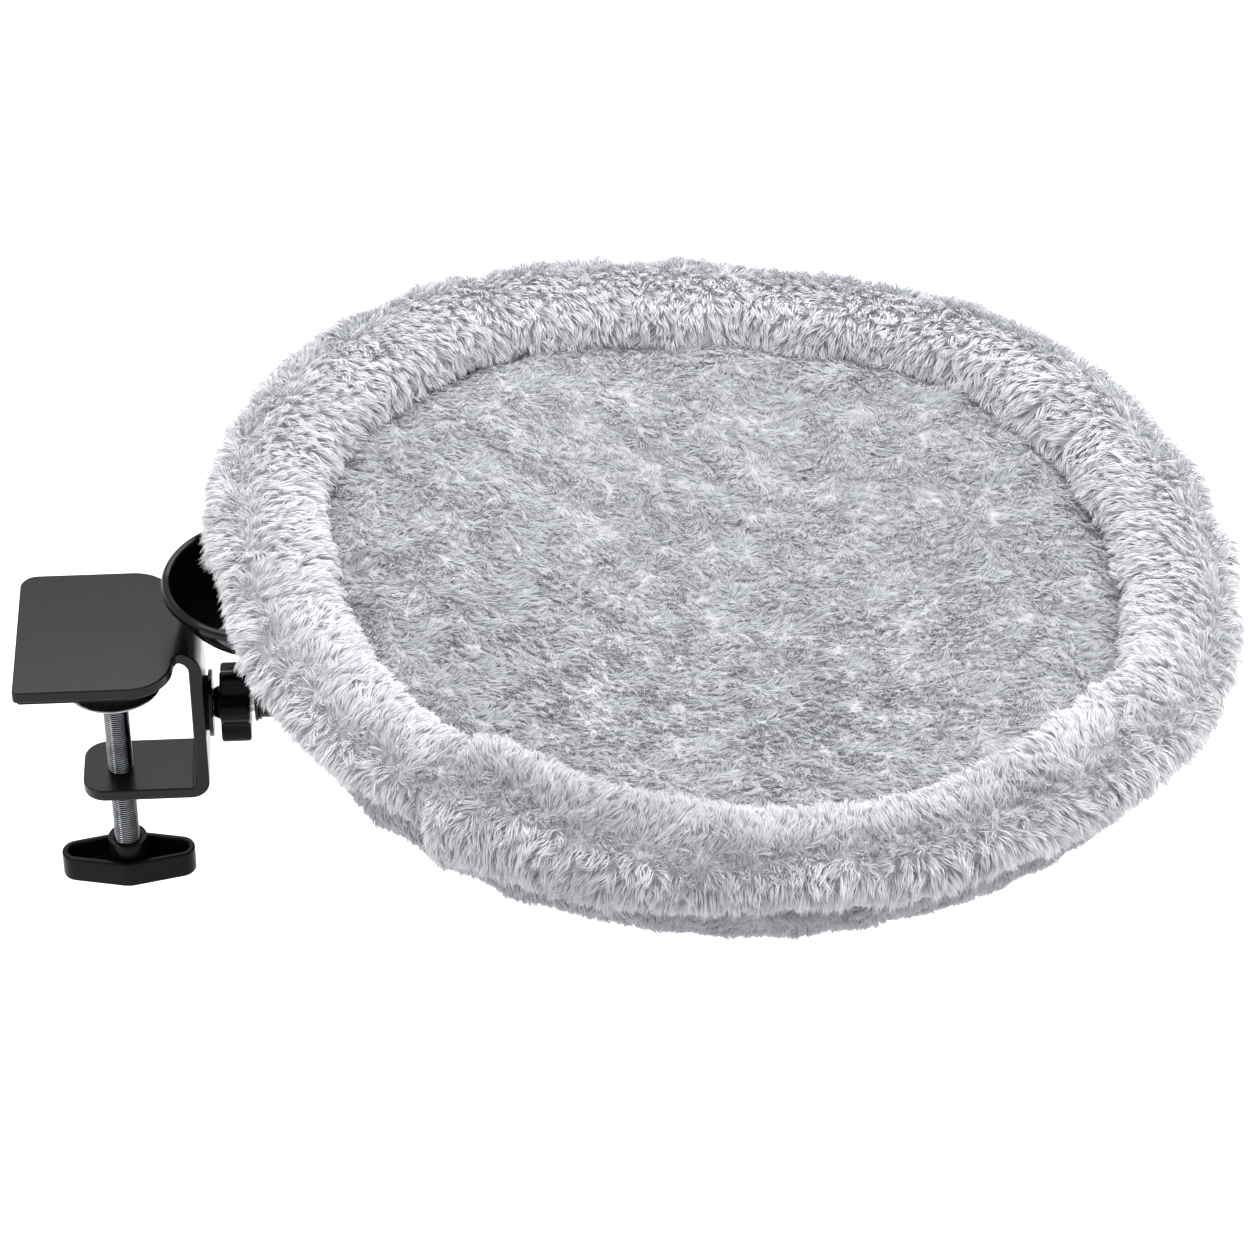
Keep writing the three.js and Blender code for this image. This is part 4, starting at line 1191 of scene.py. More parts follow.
@dataclass(frozen=True)
class PileCut:
    """How one stretch of plush stands."""

    density: float  # fibres for each square metre
    length: float
    lift: float  # degrees off the backing at the root
    droop: float
    tuft: float  # metres between tufts
    gather: float  # how far a tuft's tips draw together
    width: float
    tangle: float
    joints: int = 3


@dataclass(frozen=True)
class Habit:
    """What all of the plush has in common."""

    root_depth: float = 0.0006  # how far inside the backing a fibre starts
    lengths: tuple[float, float] = (0.7, 1.12)  # factors from fibre to fibre
    tuft_lengths: tuple[float, float] = (0.82, 1.14)  # and from tuft to tuft
    lift_spread: float = 8.0  # degrees from fibre to fibre
    tuft_lift_spread: float = 9.0  # degrees from tuft to tuft
    lift_limits: tuple[float, float] = (0.08, 1.52)  # in radians
    tuft_turn: float = 0.34  # radians from tuft to tuft
    least_tufts: int = 8
    bend: float = 0.62  # the share of its lift that a fibre has lost at its tip
    droop_power: float = 1.3
    gather_power: float = 1.2
    face_spread: float = 0.3
    widths: tuple[float, float] = (0.7, 1.3)
    taper: float = 0.5
    tone: float = 0.62
    tuft_tone_spread: float = 0.06
    tone_spread: float = 0.08


HABIT = Habit()
MOST_FACES = 190000  # in one piece of pile, so that every viewer can hold it


@dataclass
class Skin:
    """A backing surface as triangles, in the bed's frame."""

    points: Array
    triangles: Array

    def normals(self) -> Array:
        """Smooth outward directions at the points.

        Returns:
            One direction for each point.
        """
        a, b, c = (self.points[self.triangles[:, k]] for k in range(3))
        face = np.cross(b - a, c - a)
        out = np.zeros_like(self.points)
        for k in range(3):
            np.add.at(out, self.triangles[:, k], face)
        return out / np.maximum(np.linalg.norm(out, axis=1, keepdims=True), 1e-12)

    def scatter(self, density: float, pick: np.random.Generator) -> tuple[Array, Array]:
        """Roots spread evenly over the surface.

        Args:
            density: roots for each square metre.
            pick: the seeded source of chance.

        Returns:
            Their places and outward directions.
        """
        a, b, c = (self.points[self.triangles[:, k]] for k in range(3))
        area = np.linalg.norm(np.cross(b - a, c - a), axis=1) / 2
        count = int(area.sum() * density)
        spots = (np.arange(count) + pick.random(count)) / count * area.sum()
        chosen = np.minimum(np.searchsorted(np.cumsum(area), spots), len(area) - 1)
        u, v = pick.random(count), pick.random(count)
        fold = u + v > 1
        u[fold], v[fold] = 1 - u[fold], 1 - v[fold]
        w = 1 - u - v
        normals = self.normals()
        ia, ib, ic = (self.triangles[chosen, k] for k in range(3))
        place = w[:, None] * self.points[ia] + u[:, None] * self.points[ib] + v[:, None] * self.points[ic]
        out = w[:, None] * normals[ia] + u[:, None] * normals[ib] + v[:, None] * normals[ic]
        return place, out / np.maximum(np.linalg.norm(out, axis=1, keepdims=True), 1e-12)


@dataclass
class Combing:
    """How each root's fibre lies: whether it is there, its way, and factors on what the pile's cut says."""

    keep: Array
    ways: Array
    lifts: Array
    lengths: Array
    droops: Array
    # added to each fibre's tone: painted shade and highlight, with some random tone
    tones: Array
    tangles: Array

    def only(self, order: Array) -> "Combing":
        """The same for some of the roots, in a given order."""
        return Combing(*(getattr(self, name)[order] for name in self.__dataclass_fields__))


def unit(ways: Array) -> Array:
    """Directions brought to length one."""
    return ways / np.maximum(np.linalg.norm(ways, axis=1, keepdims=True), 1e-12)


@dataclass
class Pile:
    """Grown fibres, each a bent ribbon that narrows to a point."""

    points: Array  # for each fibre, its ring of points
    along: Array
    tone: Array
    roots: Array
    blade: Array  # triangles of one fibre


def grow(skin: Skin, cut: PileCut, comb: Callable[[Array, Array], Combing], seed: int) -> Pile:
    """Grows plush fibres from a backing.

    Args:
        skin: the backing.
        cut: how the pile stands.
        comb: how each root's fibre lies, for roots and outward directions.
        seed: fixes the pattern.

    Returns:
        The fibres.
    """
    pick = np.random.default_rng(seed)
    roots, outs = skin.scatter(cut.density, pick)
    combed = comb(roots, outs)
    order = pick.permutation(np.flatnonzero(combed.keep))
    roots, outs, combed = roots[order], outs[order], combed.only(order)
    count = len(roots)

    spread = pick.normal(size=(count, 3)) * (cut.tangle * combed.tangles)[:, None]
    ways = unit(combed.ways + spread - np.sum(spread * outs, 1, keepdims=True) * outs)
    length = cut.length * combed.lengths * pick.uniform(*HABIT.lengths, count)
    lift = np.radians(cut.lift * combed.lifts + pick.normal(size=count) * HABIT.lift_spread * combed.tangles)

    # The first few roots lead a tuft each, and every fibre belongs to the nearest.
    leaders = max(HABIT.least_tufts, min(count, int(count / cut.density / cut.tuft ** 2)))
    tree = kdtree.KDTree(leaders)
    for i in range(leaders):
        tree.insert(roots[i], i)
    tree.balance()
    tuft = np.fromiter((tree.find(p)[1] for p in roots), int, count)
    lift += (pick.normal(size=leaders) * math.radians(HABIT.tuft_lift_spread))[tuft] * combed.tangles
    lift = np.clip(lift, *HABIT.lift_limits)
    length *= pick.uniform(*HABIT.tuft_lengths, leaders)[tuft]
    turn = (pick.normal(size=leaders) * HABIT.tuft_turn)[tuft] * combed.tangles
    ways = ways * np.cos(turn)[:, None] + np.cross(outs, ways) * np.sin(turn)[:, None]

    joints = cut.joints + 1
    line, heading = [roots - outs * HABIT.root_depth], []
    for k in range(joints):
        share = k / (joints - 1)
        lean = lift * (1.0 - HABIT.bend * share)
        step = ways * np.cos(lean)[:, None] + outs * np.sin(lean)[:, None]
        step[:, 2] -= cut.droop * combed.droops * share ** HABIT.droop_power
        heading.append(unit(step))
        if k:
            line.append(line[-1] + heading[-1] * (length / (joints - 1))[:, None])
    path = np.stack(line, 1)
    lead = path[tuft]
    for k in range(1, joints):
        path[:, k] += (lead[:, k] - path[:, k]) * cut.gather * (k / (joints - 1)) ** HABIT.gather_power

    face = unit(np.cross(heading[1], outs + pick.normal(size=(count, 3)) * HABIT.face_spread))
    half = cut.width / 2 * pick.uniform(*HABIT.widths, count)
    rim = 2 * cut.joints + 1
    points = np.empty((count, rim, 3))
    along = np.empty(rim)
    for k in range(cut.joints):
        share = k / cut.joints
        reach = face * (half * (1 - HABIT.taper * share ** 2))[:, None]
        points[:, 2 * k], points[:, 2 * k + 1] = path[:, k] - reach, path[:, k] + reach
        along[2 * k:2 * k + 2] = share
    points[:, -1] = path[:, -1]
    along[-1] = 1.0
    blade = []
    for k in range(cut.joints - 1):
        blade += [2 * k, 2 * k + 1, 2 * k + 3, 2 * k, 2 * k + 3, 2 * k + 2]
    blade += [rim - 3, rim - 2, rim - 1]
    tone = HABIT.tone + combed.tones + (pick.normal(size=leaders) * HABIT.tuft_tone_spread)[tuft] \
        + pick.normal(size=count) * HABIT.tone_spread
    tones = np.repeat(np.clip(tone, 0, 1)[:, None], rim, 1)
    return Pile(points, np.tile(along, (count, 1)), tones, roots, np.array(blade))


@dataclass
class PlushBed:
    """The round bed: a puckered roll with a fold over its joint, a padded shell and a loose cushion."""

    place: BedFrame = field(default_factory=BedFrame)
    roll_half: tuple[float, float] = (0.0240, 0.0150)
    roll_rings: int = 320
    roll_sides: int = 40
    puckers: int = 20  # how often the roll is drawn in on its way round
    pucker: float = 0.04
    seam_lip: float = 0.0065  # how far the roll's lower inner edge reaches over the cushion
    seam_turn: float = 207.0  # where on its section that is, in degrees
    seam_width: float = 17.0
    parting: float = 56.0  # where on the section the pile parts, in degrees
    parting_sway: float = 9.0
    parting_turn: float = 5.0  # degrees over which the pile turns from one side to the other
    parting_width: float = 14.0
    joint_gap: float = 0.0022
    rise_height: float = 0.005
    # Direction and width in degrees: the two corners that are pushed up, and the front that sits back.
    rise_corners: tuple[tuple[float, float], ...] = ((47.0, 19.0), (130.0, 26.0))
    front: tuple[float, float] = (272.0, 42.0)
    fold_start: float = math.radians(233.5)
    fold_end: float = math.radians(276)
    fold_loft: float = 0.0150
    fold_seat: float = 0.0025  # how far off the roll's middle surface it lies
    fold_turns: tuple[float, float] = (165.0, -38.0)  # how far it goes round the roll, from inside to outside
    fold_foot: float = -0.0245  # the height that it ends at on the wall
    fold_edge: float = 0.002  # its least thickness
    fold_flat: float = 0.0005  # how far inside the wall's own surface it lies there
    pile_lap: float = 0.005  # how far the roll's pile reaches under its open end
    roll_tail: float = 0.045  # the roll's and the wall's pile that stay, from its thin end on
    wall_tail: float = 0.030
    crease_width: float = 0.011
    shell_top: float = 0.226
    shell_drop: float = 0.028
    shell_foot: float = 0.148
    shell_depth: float = 0.077
    wall_inset: float = 0.0024
    wall_swell: float = 0.0024
    wall_clear: float = 0.043  # the height up to which the wall and the cushion keep off the dish
    cushion_clear: float = 0.0385
    cushion_radius: float = 0.193
    cushion_height: float = 0.049
    cushion_bottom: float = -0.0629
    cushion_side: tuple[tuple[float, float], ...] = (  # shares of its radius and of its height
        (0.0, 0.0), (0.4, 0.0), (0.78, 0.0), (0.91, 0.06), (0.985, 0.24), (1.0, 0.44), (1.0, 0.66),
        (0.99, 0.82), (0.965, 0.94), (0.91, 1.01), (0.82, 1.0), (0.68, 0.9), (0.5, 0.72), (0.28, 0.56),
        (0.1, 0.5), (0.0, 0.5))
    cushion_swell: float = 0.0016
    dish_axis: float = 0.072
    dish_room: float = 0.0475
    broad: Ripples = field(default_factory=lambda: Ripples(3, 0.085))
    fine: Ripples = field(default_factory=lambda: Ripples(5, 0.028))
    swirl: Ripples = field(default_factory=lambda: Ripples(11, 0.050))
    whorl: Ripples = field(default_factory=lambda: Ripples(13, 0.019))
    roll_cut: PileCut = PileCut(density=1.12e6, length=0.0104, lift=62, droop=0.32, tuft=0.0035, gather=0.48,
                                width=0.00052, tangle=0.3)
    wall_cut: PileCut = PileCut(density=1.0e6, length=0.0060, lift=42, droop=0.3, tuft=0.0028, gather=0.34,
                                width=0.00052, tangle=0.26)
    cushion_cut: PileCut = PileCut(density=1.1e6, length=0.0064, lift=50, droop=0.1, tuft=0.0030, gather=0.38,
                                   width=0.00052, tangle=0.3, joints=2)
    fold_cut: PileCut = PileCut(density=1.12e6, length=0.0100, lift=60, droop=0.34, tuft=0.0035, gather=0.48,
                                width=0.00052, tangle=0.3)
    drift: tuple[tuple[float, float], ...] = (  # direction in degrees, and millimetres out of true round
        (0, 1.3), (12, 1.6), (28, 4.0), (45, 5.5), (56, 3.5), (66, 0.5), (75, -3.0), (84, -1.5), (94, -3.0),
        (104, 1.0), (116, 5.0), (140, 7.0), (156, 6.0), (168, 3.5), (178, -2.5), (185, -6.5), (192, -5.0),
        (200, -5.5), (208, -4.0), (218, -2.0), (230, -1.0), (241, 1.5), (250, 3.5), (262, 1.5), (275, 2.5),
        (290, 2.0), (302, -1.0), (320, -1.0), (334, 4.5), (345, 1.0))

    def spread(self, azimuth: Array) -> Array:
        """How far the soft rim stands out of true round, in metres, at angles round the bed."""
        directions, offsets = zip(*self.drift)
        return np.interp(np.degrees(azimuth), directions, offsets, period=360) / 1000

    def rise(self, azimuth: Array) -> Array:
        """How far the rim is pushed up where it is fullest, at the two far corners, in metres."""
        turn = np.degrees(azimuth) % 360
        return self.rise_height * sum(np.exp(-((turn - at) / width) ** 2) for at, width in self.rise_corners)

    def facing(self, azimuth: float) -> float:
        """How much of the front, where the rim sits back over the wall, one direction is, up to 1."""
        at, width = self.front
        return math.exp(-((math.degrees(azimuth) % 360 - at) / width) ** 4)

    def around(self, azimuth: float, radius: Array, height: Array) -> Array:
        """Points of one section that stands at one direction from the bed's middle."""
        radius = radius + self.spread(np.array([azimuth]))[0]
        return np.stack([radius * math.cos(azimuth), radius * math.sin(azimuth), height], 1)

    def directions(self, points: Array) -> tuple[Array, Array, Array]:
        """Finds how each point lies to the bed's middle.

        Args:
            points: in the bed's frame.

        Returns:
            Angle round the bed, outward direction and sideways direction at each point.
        """
        azimuth = np.arctan2(points[:, 1], points[:, 0])
        radial = np.stack([np.cos(azimuth), np.sin(azimuth), np.zeros(len(points))], 1)
        return azimuth, radial, np.cross([0.0, 0.0, 1.0], radial)

    def section(self, points: Array) -> tuple[Array, Array]:
        """Finds where on the roll's section each point lies.

        Args:
            points: in the bed's frame.

        Returns:
            Angle round the section in degrees, from -120 up to 240, and the direction in which it grows.
        """
        azimuth, radial, _ = self.directions(points)
        across = np.hypot(points[:, 0], points[:, 1]) - self.place.roll_radius - self.spread(azimuth)
        up = points[:, 2] - self.place.roll_centre - self.rise(azimuth)
        half_w, half_h = self.roll_half
        turn = np.arctan2(up / half_h, across / half_w)
        along_r, along_z = -half_w * np.sin(turn), half_h * np.cos(turn)
        size = np.hypot(along_r, along_z)
        tangent = radial * (along_r / size)[:, None]
        tangent[:, 2] = along_z / size
        turn = np.degrees(turn)
        return np.where(turn < -120, turn + 360, turn), tangent

    def end_distance(self, azimuth: Array) -> Array:
        """Measures round the bed from the roll's ends under the fold.

        Args:
            azimuth: angles round the bed.

        Returns:
            Metres from the nearer end, negative in the gap between the two.
        """
        joint = (self.fold_start + self.fold_end) / 2
        away = np.abs((azimuth - joint + math.pi) % (2 * math.pi) - math.pi)
        return away * self.place.roll_radius - self.joint_gap

    def fold_distance(self, azimuth: Array) -> Array:
        """Metres round the bed past the fold's open end, negative to the left of it."""
        return ((azimuth - self.fold_start + math.pi) % (2 * math.pi) - math.pi) * self.place.roll_radius

    def under_fold(self, azimuth: Array, shown: float) -> Array:
        """Whether the fold hides each place, but for a stretch at its thin end that stays shown."""
        past = self.fold_distance(azimuth)
        return (past > self.pile_lap) & (past < self.fold_length - shown)

    @property
    def fold_length(self) -> float:
        """How far the fold reaches round the bed, in metres."""
        return (self.fold_end - self.fold_start) * self.place.roll_radius

    def crease(self, azimuth: Array) -> Array:
        """How near each place is to the crease that the fold's open end makes, on its left, up to 1."""
        past = self.fold_distance(azimuth)
        return np.where(past > 0.012, 0.0, np.exp(-(np.minimum(past + 0.002, 0) / self.crease_width) ** 2))

    def comb_roll(self, roots: Array, outs: Array) -> Combing:
        """Combs the roll: inwards inside the parting, outwards and down outside it.

        Args:
            roots: where the fibres start.
            outs: the outward direction at each of them; not used here.

        Returns:
            How the fibres lie.
        """
        azimuth, _, sideways = self.directions(roots)
        turn, tangent = self.section(roots)
        flat = roots * [1, 1, 0]
        past = turn - (self.parting + self.parting_sway * self.broad.at(flat)
                       + self.parting_sway * self.fine.at(flat))
        side = np.tanh(past / self.parting_turn)
        near = np.exp(-(past / self.parting_width) ** 2)
        drift = 0.32 * self.swirl.at(roots) + (0.3 + 1.0 * near) * self.whorl.at(roots)
        ways = tangent * side[:, None] + sideways * drift[:, None]
        inside = past > 0
        beside = self.crease(azimuth)
        hidden = self.under_fold(azimuth, self.roll_tail) & (turn < 125)
        shown = (turn > -70) & (turn < 222) & (self.end_distance(azimuth) > 0)
        # how much of the front each root is, where painted shade goes
        front = np.clip((-np.sin(azimuth) - 0.55) / 0.35, 0, 1)
        under = np.clip((5 - turn) / 35, 0, 1)
        return Combing(
            keep=shown & ~hidden,
            ways=ways,
            lifts=1.0 + 0.55 * near + 0.15 * self.fine.at(roots),
            lengths=np.where(inside, 0.86, 1.0) * (1 - 0.2 * near) * (1 - 0.5 * beside) * (1 - 0.5 * under),
            droops=np.where(inside, 0.4, 1.1) * (1 - 0.7 * near),
            # painted shade along the parting, on the front and most on its crest, and in the crease beside
            # the fold's open end; the inner side is painted lighter than the outer side as painted light from
            # above; the rest is random tone
            tones=0.08 * self.swirl.at(roots + 1.0) - 0.30 * near
            + np.where(inside, 0.05 - 0.38 * front, -0.02 - 0.14 * front) - 0.6 * beside,
            tangles=1.0 + 2.2 * near,
        )

    def roll_skin(self) -> Skin:
        """Backing of the roll, puckered round the bed, with rounded ends and a seam lip over the cushion.

        Returns:
            The backing's surface.
        """
        joint = (self.fold_start + self.fold_end) / 2
        gap = self.joint_gap / self.place.roll_radius
        turns = np.linspace(0, 2 * math.pi, self.roll_sides, endpoint=False)
        lip = np.exp(-((np.degrees(turns) - self.seam_turn) / self.seam_width) ** 2)
        rings = []
        for azimuth in np.linspace(joint + gap, joint + 2 * math.pi - gap, self.roll_rings):
            spot = self.around(azimuth, np.full(len(turns), self.place.roll_radius), 0.02 * np.sin(turns))
            drawn = self.pucker * math.cos(self.puckers * azimuth + 0.8 * math.sin(3 * azimuth))
            swell = 1 + drawn + 0.06 * self.broad.at(spot) + 0.05 * self.fine.at(spot)
            room = self.end_distance(np.array([azimuth]))[0]
            swell = swell * math.sqrt(max(0.35, min(1.0, (room + 0.003) / 0.011)))  # rounds the ends
            tuck = np.where(np.cos(turns) > 0, 1 - 0.16 * self.facing(azimuth), 1.0)
            across = self.roll_half[0] * swell * tuck * np.cos(turns) - self.seam_lip * lip
            up = self.roll_half[1] * swell * np.sin(turns)
            level = self.place.roll_centre + float(self.rise(np.array([azimuth]))[0])
            rings.append(self.around(azimuth, self.place.roll_radius + across, level + up))
        return self.skin_of(*stack(rings))

    def skin_of(self, points: Array, faces: list) -> Skin:
        """Makes a skin that faces outwards.

        Args:
            points: in the bed's frame.
            faces: point numbers of each face, which may have any number of corners.

        Returns:
            The skin.
        """
        triangles = [(f[0], f[i], f[i + 1]) for f in faces for i in range(1, len(f) - 1)]
        skin = Skin(np.asarray(points), np.array(triangles))
        a, b, c = (skin.points[skin.triangles[:, k]] for k in range(3))
        if np.einsum("ij,ij->", a, np.cross(b, c)) < 0:
            skin.triangles = skin.triangles[:, ::-1]
        return skin

    def clear_dish(self, points: Array, below: float) -> Array:
        """Dents a wall inwards where the dish stands.

        Args:
            points: in the bed's frame.
            below: height in the whole object's frame under which the dish takes the room.

        Returns:
            The points, moved towards the bed's middle where they were in the dish's room.
        """
        world = self.place.out(points)
        away = world[:, :2] - [self.dish_axis, 0.0]
        inside = (np.hypot(away[:, 0], away[:, 1]) < self.dish_room) & (world[:, 2] < below)
        half = np.sqrt(np.maximum(self.dish_room ** 2 - away[:, 1] ** 2, 0))
        world[inside, 0] = self.dish_axis + half[inside]
        return self.place.back(world)

    def wall_line(self, inset: float, steps: int = 22) -> Array:
        """The outer wall's line, from under the roll down to the foot.

        Args:
            inset: how far inside the wall's own surface it runs.
            steps: how many points it has.

        Returns:
            Radius and height of each point.
        """
        turns = np.linspace(0, math.pi / 2, steps)
        radius = self.shell_foot + (self.shell_top - self.shell_foot - inset) * np.cos(turns)
        height = -self.shell_drop + (self.shell_drop - self.shell_depth + inset) * np.sin(turns)
        return np.stack([radius, height], 1)

    def wall_skin(self) -> Skin:
        """Backing of the padded outer wall, with the soft swell of its filling.

        Returns:
            The backing's surface.
        """
        line = self.wall_line(self.wall_inset)
        azimuths = np.linspace(0, 2 * math.pi, 240, endpoint=False)
        lip = [(0.196, -0.0300), (0.206, -0.0270), (line[0][0] - 0.004, -0.0264)]
        profile = [*lip, *line]
        rings = []
        for k, (radius, height) in enumerate(profile):
            share = max(0.0, (k - 2) / len(line))  # of the way down, from the end of the lip on
            reach = radius + self.spread(azimuths) * min(1.0, max(0.0, 1.2 - 1.2 * share))
            level = height + self.rise(azimuths) * max(0.0, 1 - 2.5 * share)
            ring = np.stack([reach * np.cos(azimuths), reach * np.sin(azimuths), level], 1)
            fill = self.broad.at(ring) + 0.7 * self.fine.at(ring)
            swell = self.wall_swell * math.sin(math.pi * min(share, 1.0)) * fill
            rings.append(ring * (1 + swell / radius)[:, None] * [1, 1, 0] + ring * [0, 0, 1])
        points, faces = stack(rings)
        return self.skin_of(self.clear_dish(points, self.wall_clear), faces[:-2])

    def downwards(self, outs: Array, sideways: Array) -> Array:
        """The way down the surface at each root."""
        down = unit(np.cross(outs, sideways))
        return down * np.where(down[:, 2] > 0, -1, 1)[:, None]

    def comb_wall(self, roots: Array, outs: Array) -> Combing:
        """Combs the outer wall downwards in loose swirls.

        Args:
            roots: where the fibres start.
            outs: the outward direction at each of them.

        Returns:
            How the fibres lie.
        """
        azimuth, _, sideways = self.directions(roots)
        drift = 0.6 * self.swirl.at(roots) + 0.5 * self.whorl.at(roots)
        world = self.place.out(roots)
        away = np.hypot(world[:, 0] - self.dish_axis, world[:, 1])
        by_dish = (away < self.dish_room + 0.002) & (world[:, 2] < self.wall_clear + 0.002)
        covered = self.under_fold(azimuth, self.wall_tail) & (roots[:, 2] > -0.022)
        at_seam = roots[:, 2] < -self.shell_depth + 0.0012
        radius = np.hypot(roots[:, 0], roots[:, 1])
        outside = (radius > 0.203) | (radius > 0.149) & (roots[:, 2] < -0.040)
        count = len(roots)
        return Combing(
            keep=outside & ~(by_dish | covered | at_seam),
            ways=self.downwards(outs, sideways) + sideways * drift[:, None],
            lifts=1 + 0.2 * self.fine.at(roots),
            lengths=1 + 0.1 * self.swirl.at(roots),
            droops=np.full(count, 0.5),
            # painted shade: the whole wall is painted darker, as it faces down away from the lamps; the rest
            # is random tone
            tones=0.08 * self.swirl.at(roots) + 0.05 * self.whorl.at(roots) - 0.56,
            tangles=np.ones(count),
        )

    def cushion_skin(self) -> Skin:
        """Backing of the loose cushion: full edge, drawn-in seam and a hollow where it is lain on.

        Returns:
            The backing's surface.
        """
        radius, height = self.cushion_radius - 0.003, self.cushion_height - 0.0048
        knots = np.array([(across * radius, self.cushion_bottom + 0.001 + up * height)
                          for across, up in self.cushion_side])
        steps = np.linspace(0, 1, 5)[:-1]
        line = [smooth(knots, before, share) for before in range(len(knots) - 1) for share in steps]
        line.append(knots[-1])
        azimuths = np.linspace(0, 2 * math.pi, 200, endpoint=False)
        rings = []
        for radius, height in line:
            share = radius / self.cushion_radius
            reach = max(radius, 2e-4) + self.spread(azimuths) * share ** 4
            ring = np.stack([reach * np.cos(azimuths), reach * np.sin(azimuths),
                             np.full(len(azimuths), height)], 1)
            top = np.clip((height + 0.050) / 0.012, 0, 1)
            ring[:, 2] += top * self.rise(azimuths) * share ** 6
            fill = self.broad.at(ring) + 0.6 * self.fine.at(ring)
            ring[:, 2] += top * self.cushion_swell * fill * min(1.0, radius / 0.02)
            rings.append(ring)
        points, faces = stack(rings)
        return self.skin_of(self.clear_dish(points, self.cushion_clear), faces)

    def comb_cushion(self, roots: Array, outs: Array) -> Combing:
        """Leaves the cushion's pile in loose swirls, mostly away from its middle.

        Args:
            roots: where the fibres start.
            outs: the outward direction at each of them.

        Returns:
            How the fibres lie.
        """
        _, radial, sideways = self.directions(roots)
        flat = roots * [1, 1, 0]
        way = 0.9 * self.swirl.at(flat) + 1.2 * self.whorl.at(flat)
        lain, across = np.array([0.25, -1.0, 0.0]), np.array([1.0, 0.25, 0.0])
        ways = lain * np.cos(way)[:, None] + across * np.sin(way)[:, None]
        ways = ways - np.sum(ways * outs, 1, keepdims=True) * outs
        count = len(roots)
        return Combing(
            keep=outs[:, 2] > 0.05,
            ways=ways,
            lifts=1 + 0.25 * self.fine.at(flat),
            lengths=1 + 0.1 * self.broad.at(flat),
            droops=np.full(count, 0.3),
            # painted shade: the whole cushion is painted darker than the rim's plush, which is the same
            # cloth; the rest is random tone
            tones=0.05 * self.swirl.at(flat + 2.0) + 0.03 * self.whorl.at(flat + 1.0) - 0.60,
            tangles=np.ones(count),
        )

    def fold_line(self) -> Array:
        """The line that the fold lies on: over the roll and down the wall, from inside outwards.

        Returns:
            Radius and height of each point.
        """
        half_w, half_h = self.roll_half[0] + self.fold_seat, self.roll_half[1] + self.fold_seat
        turns = np.radians(np.linspace(*self.fold_turns, 25))
        outer = np.where(turns < math.pi / 2, 0.86, 1.0)
        over = np.stack([self.place.roll_radius + half_w * outer * np.cos(turns),
                         self.place.roll_centre + half_h * np.sin(turns)], 1)
        wall = self.wall_line(self.fold_flat)
        below = (wall[:, 1] < over[-1, 1] - 0.002) & (wall[:, 1] > self.fold_foot)
        return np.concatenate([over, wall[below]])

    def fold_skin(self) -> Skin:
        """Backing of the fold: thick and round at its open end, thinning out along the bed.

        Returns:
            The backing's surface.
        """
        line = self.fold_line()
        run = np.gradient(line, axis=0)
        normals = np.stack([-run[:, 1], run[:, 0]], 1)
        normals /= np.linalg.norm(normals, axis=1, keepdims=True)
        run_share = np.linspace(0, 1, len(line))
        inner = np.clip(0.25 + 4 * (run_share - 0.15), 0.3, 1)
        rings = []
        for share in [0.0, 0.006, 0.018, 0.036, 0.06, *np.linspace(0.09, 1.0, 28)]:
            nose = math.sqrt(min(1.0, 0.03 + share / 0.06))  # rounds the open end
            edge = inner * np.clip(2.9 - 2.9 * run_share, 0.16 + 0.6 * math.exp(-(share / 0.16) ** 2), 1)
            thick = (self.fold_edge + (self.fold_loft - self.fold_edge) * (1 - share) ** 1.5) * nose * edge
            lift = 0.003 * (1 - nose) - 0.0045 * max(0.0, (share - 0.7) / 0.3)  # sinks the thin end in
            low, high = line + normals * lift, line + normals * (lift + thick)[:, None]
            loop = np.concatenate([low, high[::-1]])
            azimuth = self.fold_start + (self.fold_end - self.fold_start) * share
            ring = self.around(azimuth, loop[:, 0], loop[:, 1])
            rings.append(ring * [1, 1, 0] * (1 + 0.008 * self.fine.at(ring))[:, None] + ring * [0, 0, 1])
        return self.skin_of(*stack(rings))

    def comb_fold(self, roots: Array, outs: Array) -> Combing:
        """Combs the fold as the roll is combed, and round its open end.

        Args:
            roots: where the fibres start.
            outs: the outward direction at each of them.

        Returns:
            How the fibres lie.
        """
        combed = self.comb_roll(roots, outs)
        azimuth, radial, sideways = self.directions(roots)
        past = self.fold_distance(azimuth)
        turn, _ = self.section(roots)
        # the fold's inner slope, where painted shade is laid
        hollow = np.exp(-((turn - 125) / 16) ** 2 - np.maximum(past, 0) / 0.06)
        low = roots[:, 2] < -0.021
        ways = np.where(low[:, None], self.downwards(outs, sideways), combed.ways)
        end = np.exp(-np.maximum(past, 0) / 0.006)
        ways = ways * (1 - 0.5 * end)[:, None] - sideways * (0.5 * end)[:, None]
        radius = np.hypot(roots[:, 0], roots[:, 1]) - self.spread(azimuth)
        away = radial * (radius - self.place.roll_radius)[:, None]
        away[:, 2] = roots[:, 2] - self.place.roll_centre
        combed.keep = (np.sum(unit(away) * outs, 1) > 0.1) | (past < 0.003)
        combed.ways = ways - np.sum(ways * outs, 1, keepdims=True) * outs
        beside = self.crease(azimuth)
        combed.lengths = combed.lengths / (1 - 0.5 * beside) * (1 - 0.45 * end)
        thin = np.clip(1 - (self.fold_length - past) / 0.05, 0, 1)
        combed.lengths = combed.lengths * (1 - 0.45 * thin) * (1 - 0.3 * low * (past > 0.03))
        combed.lifts = combed.lifts * (1 + 0.25 * end)
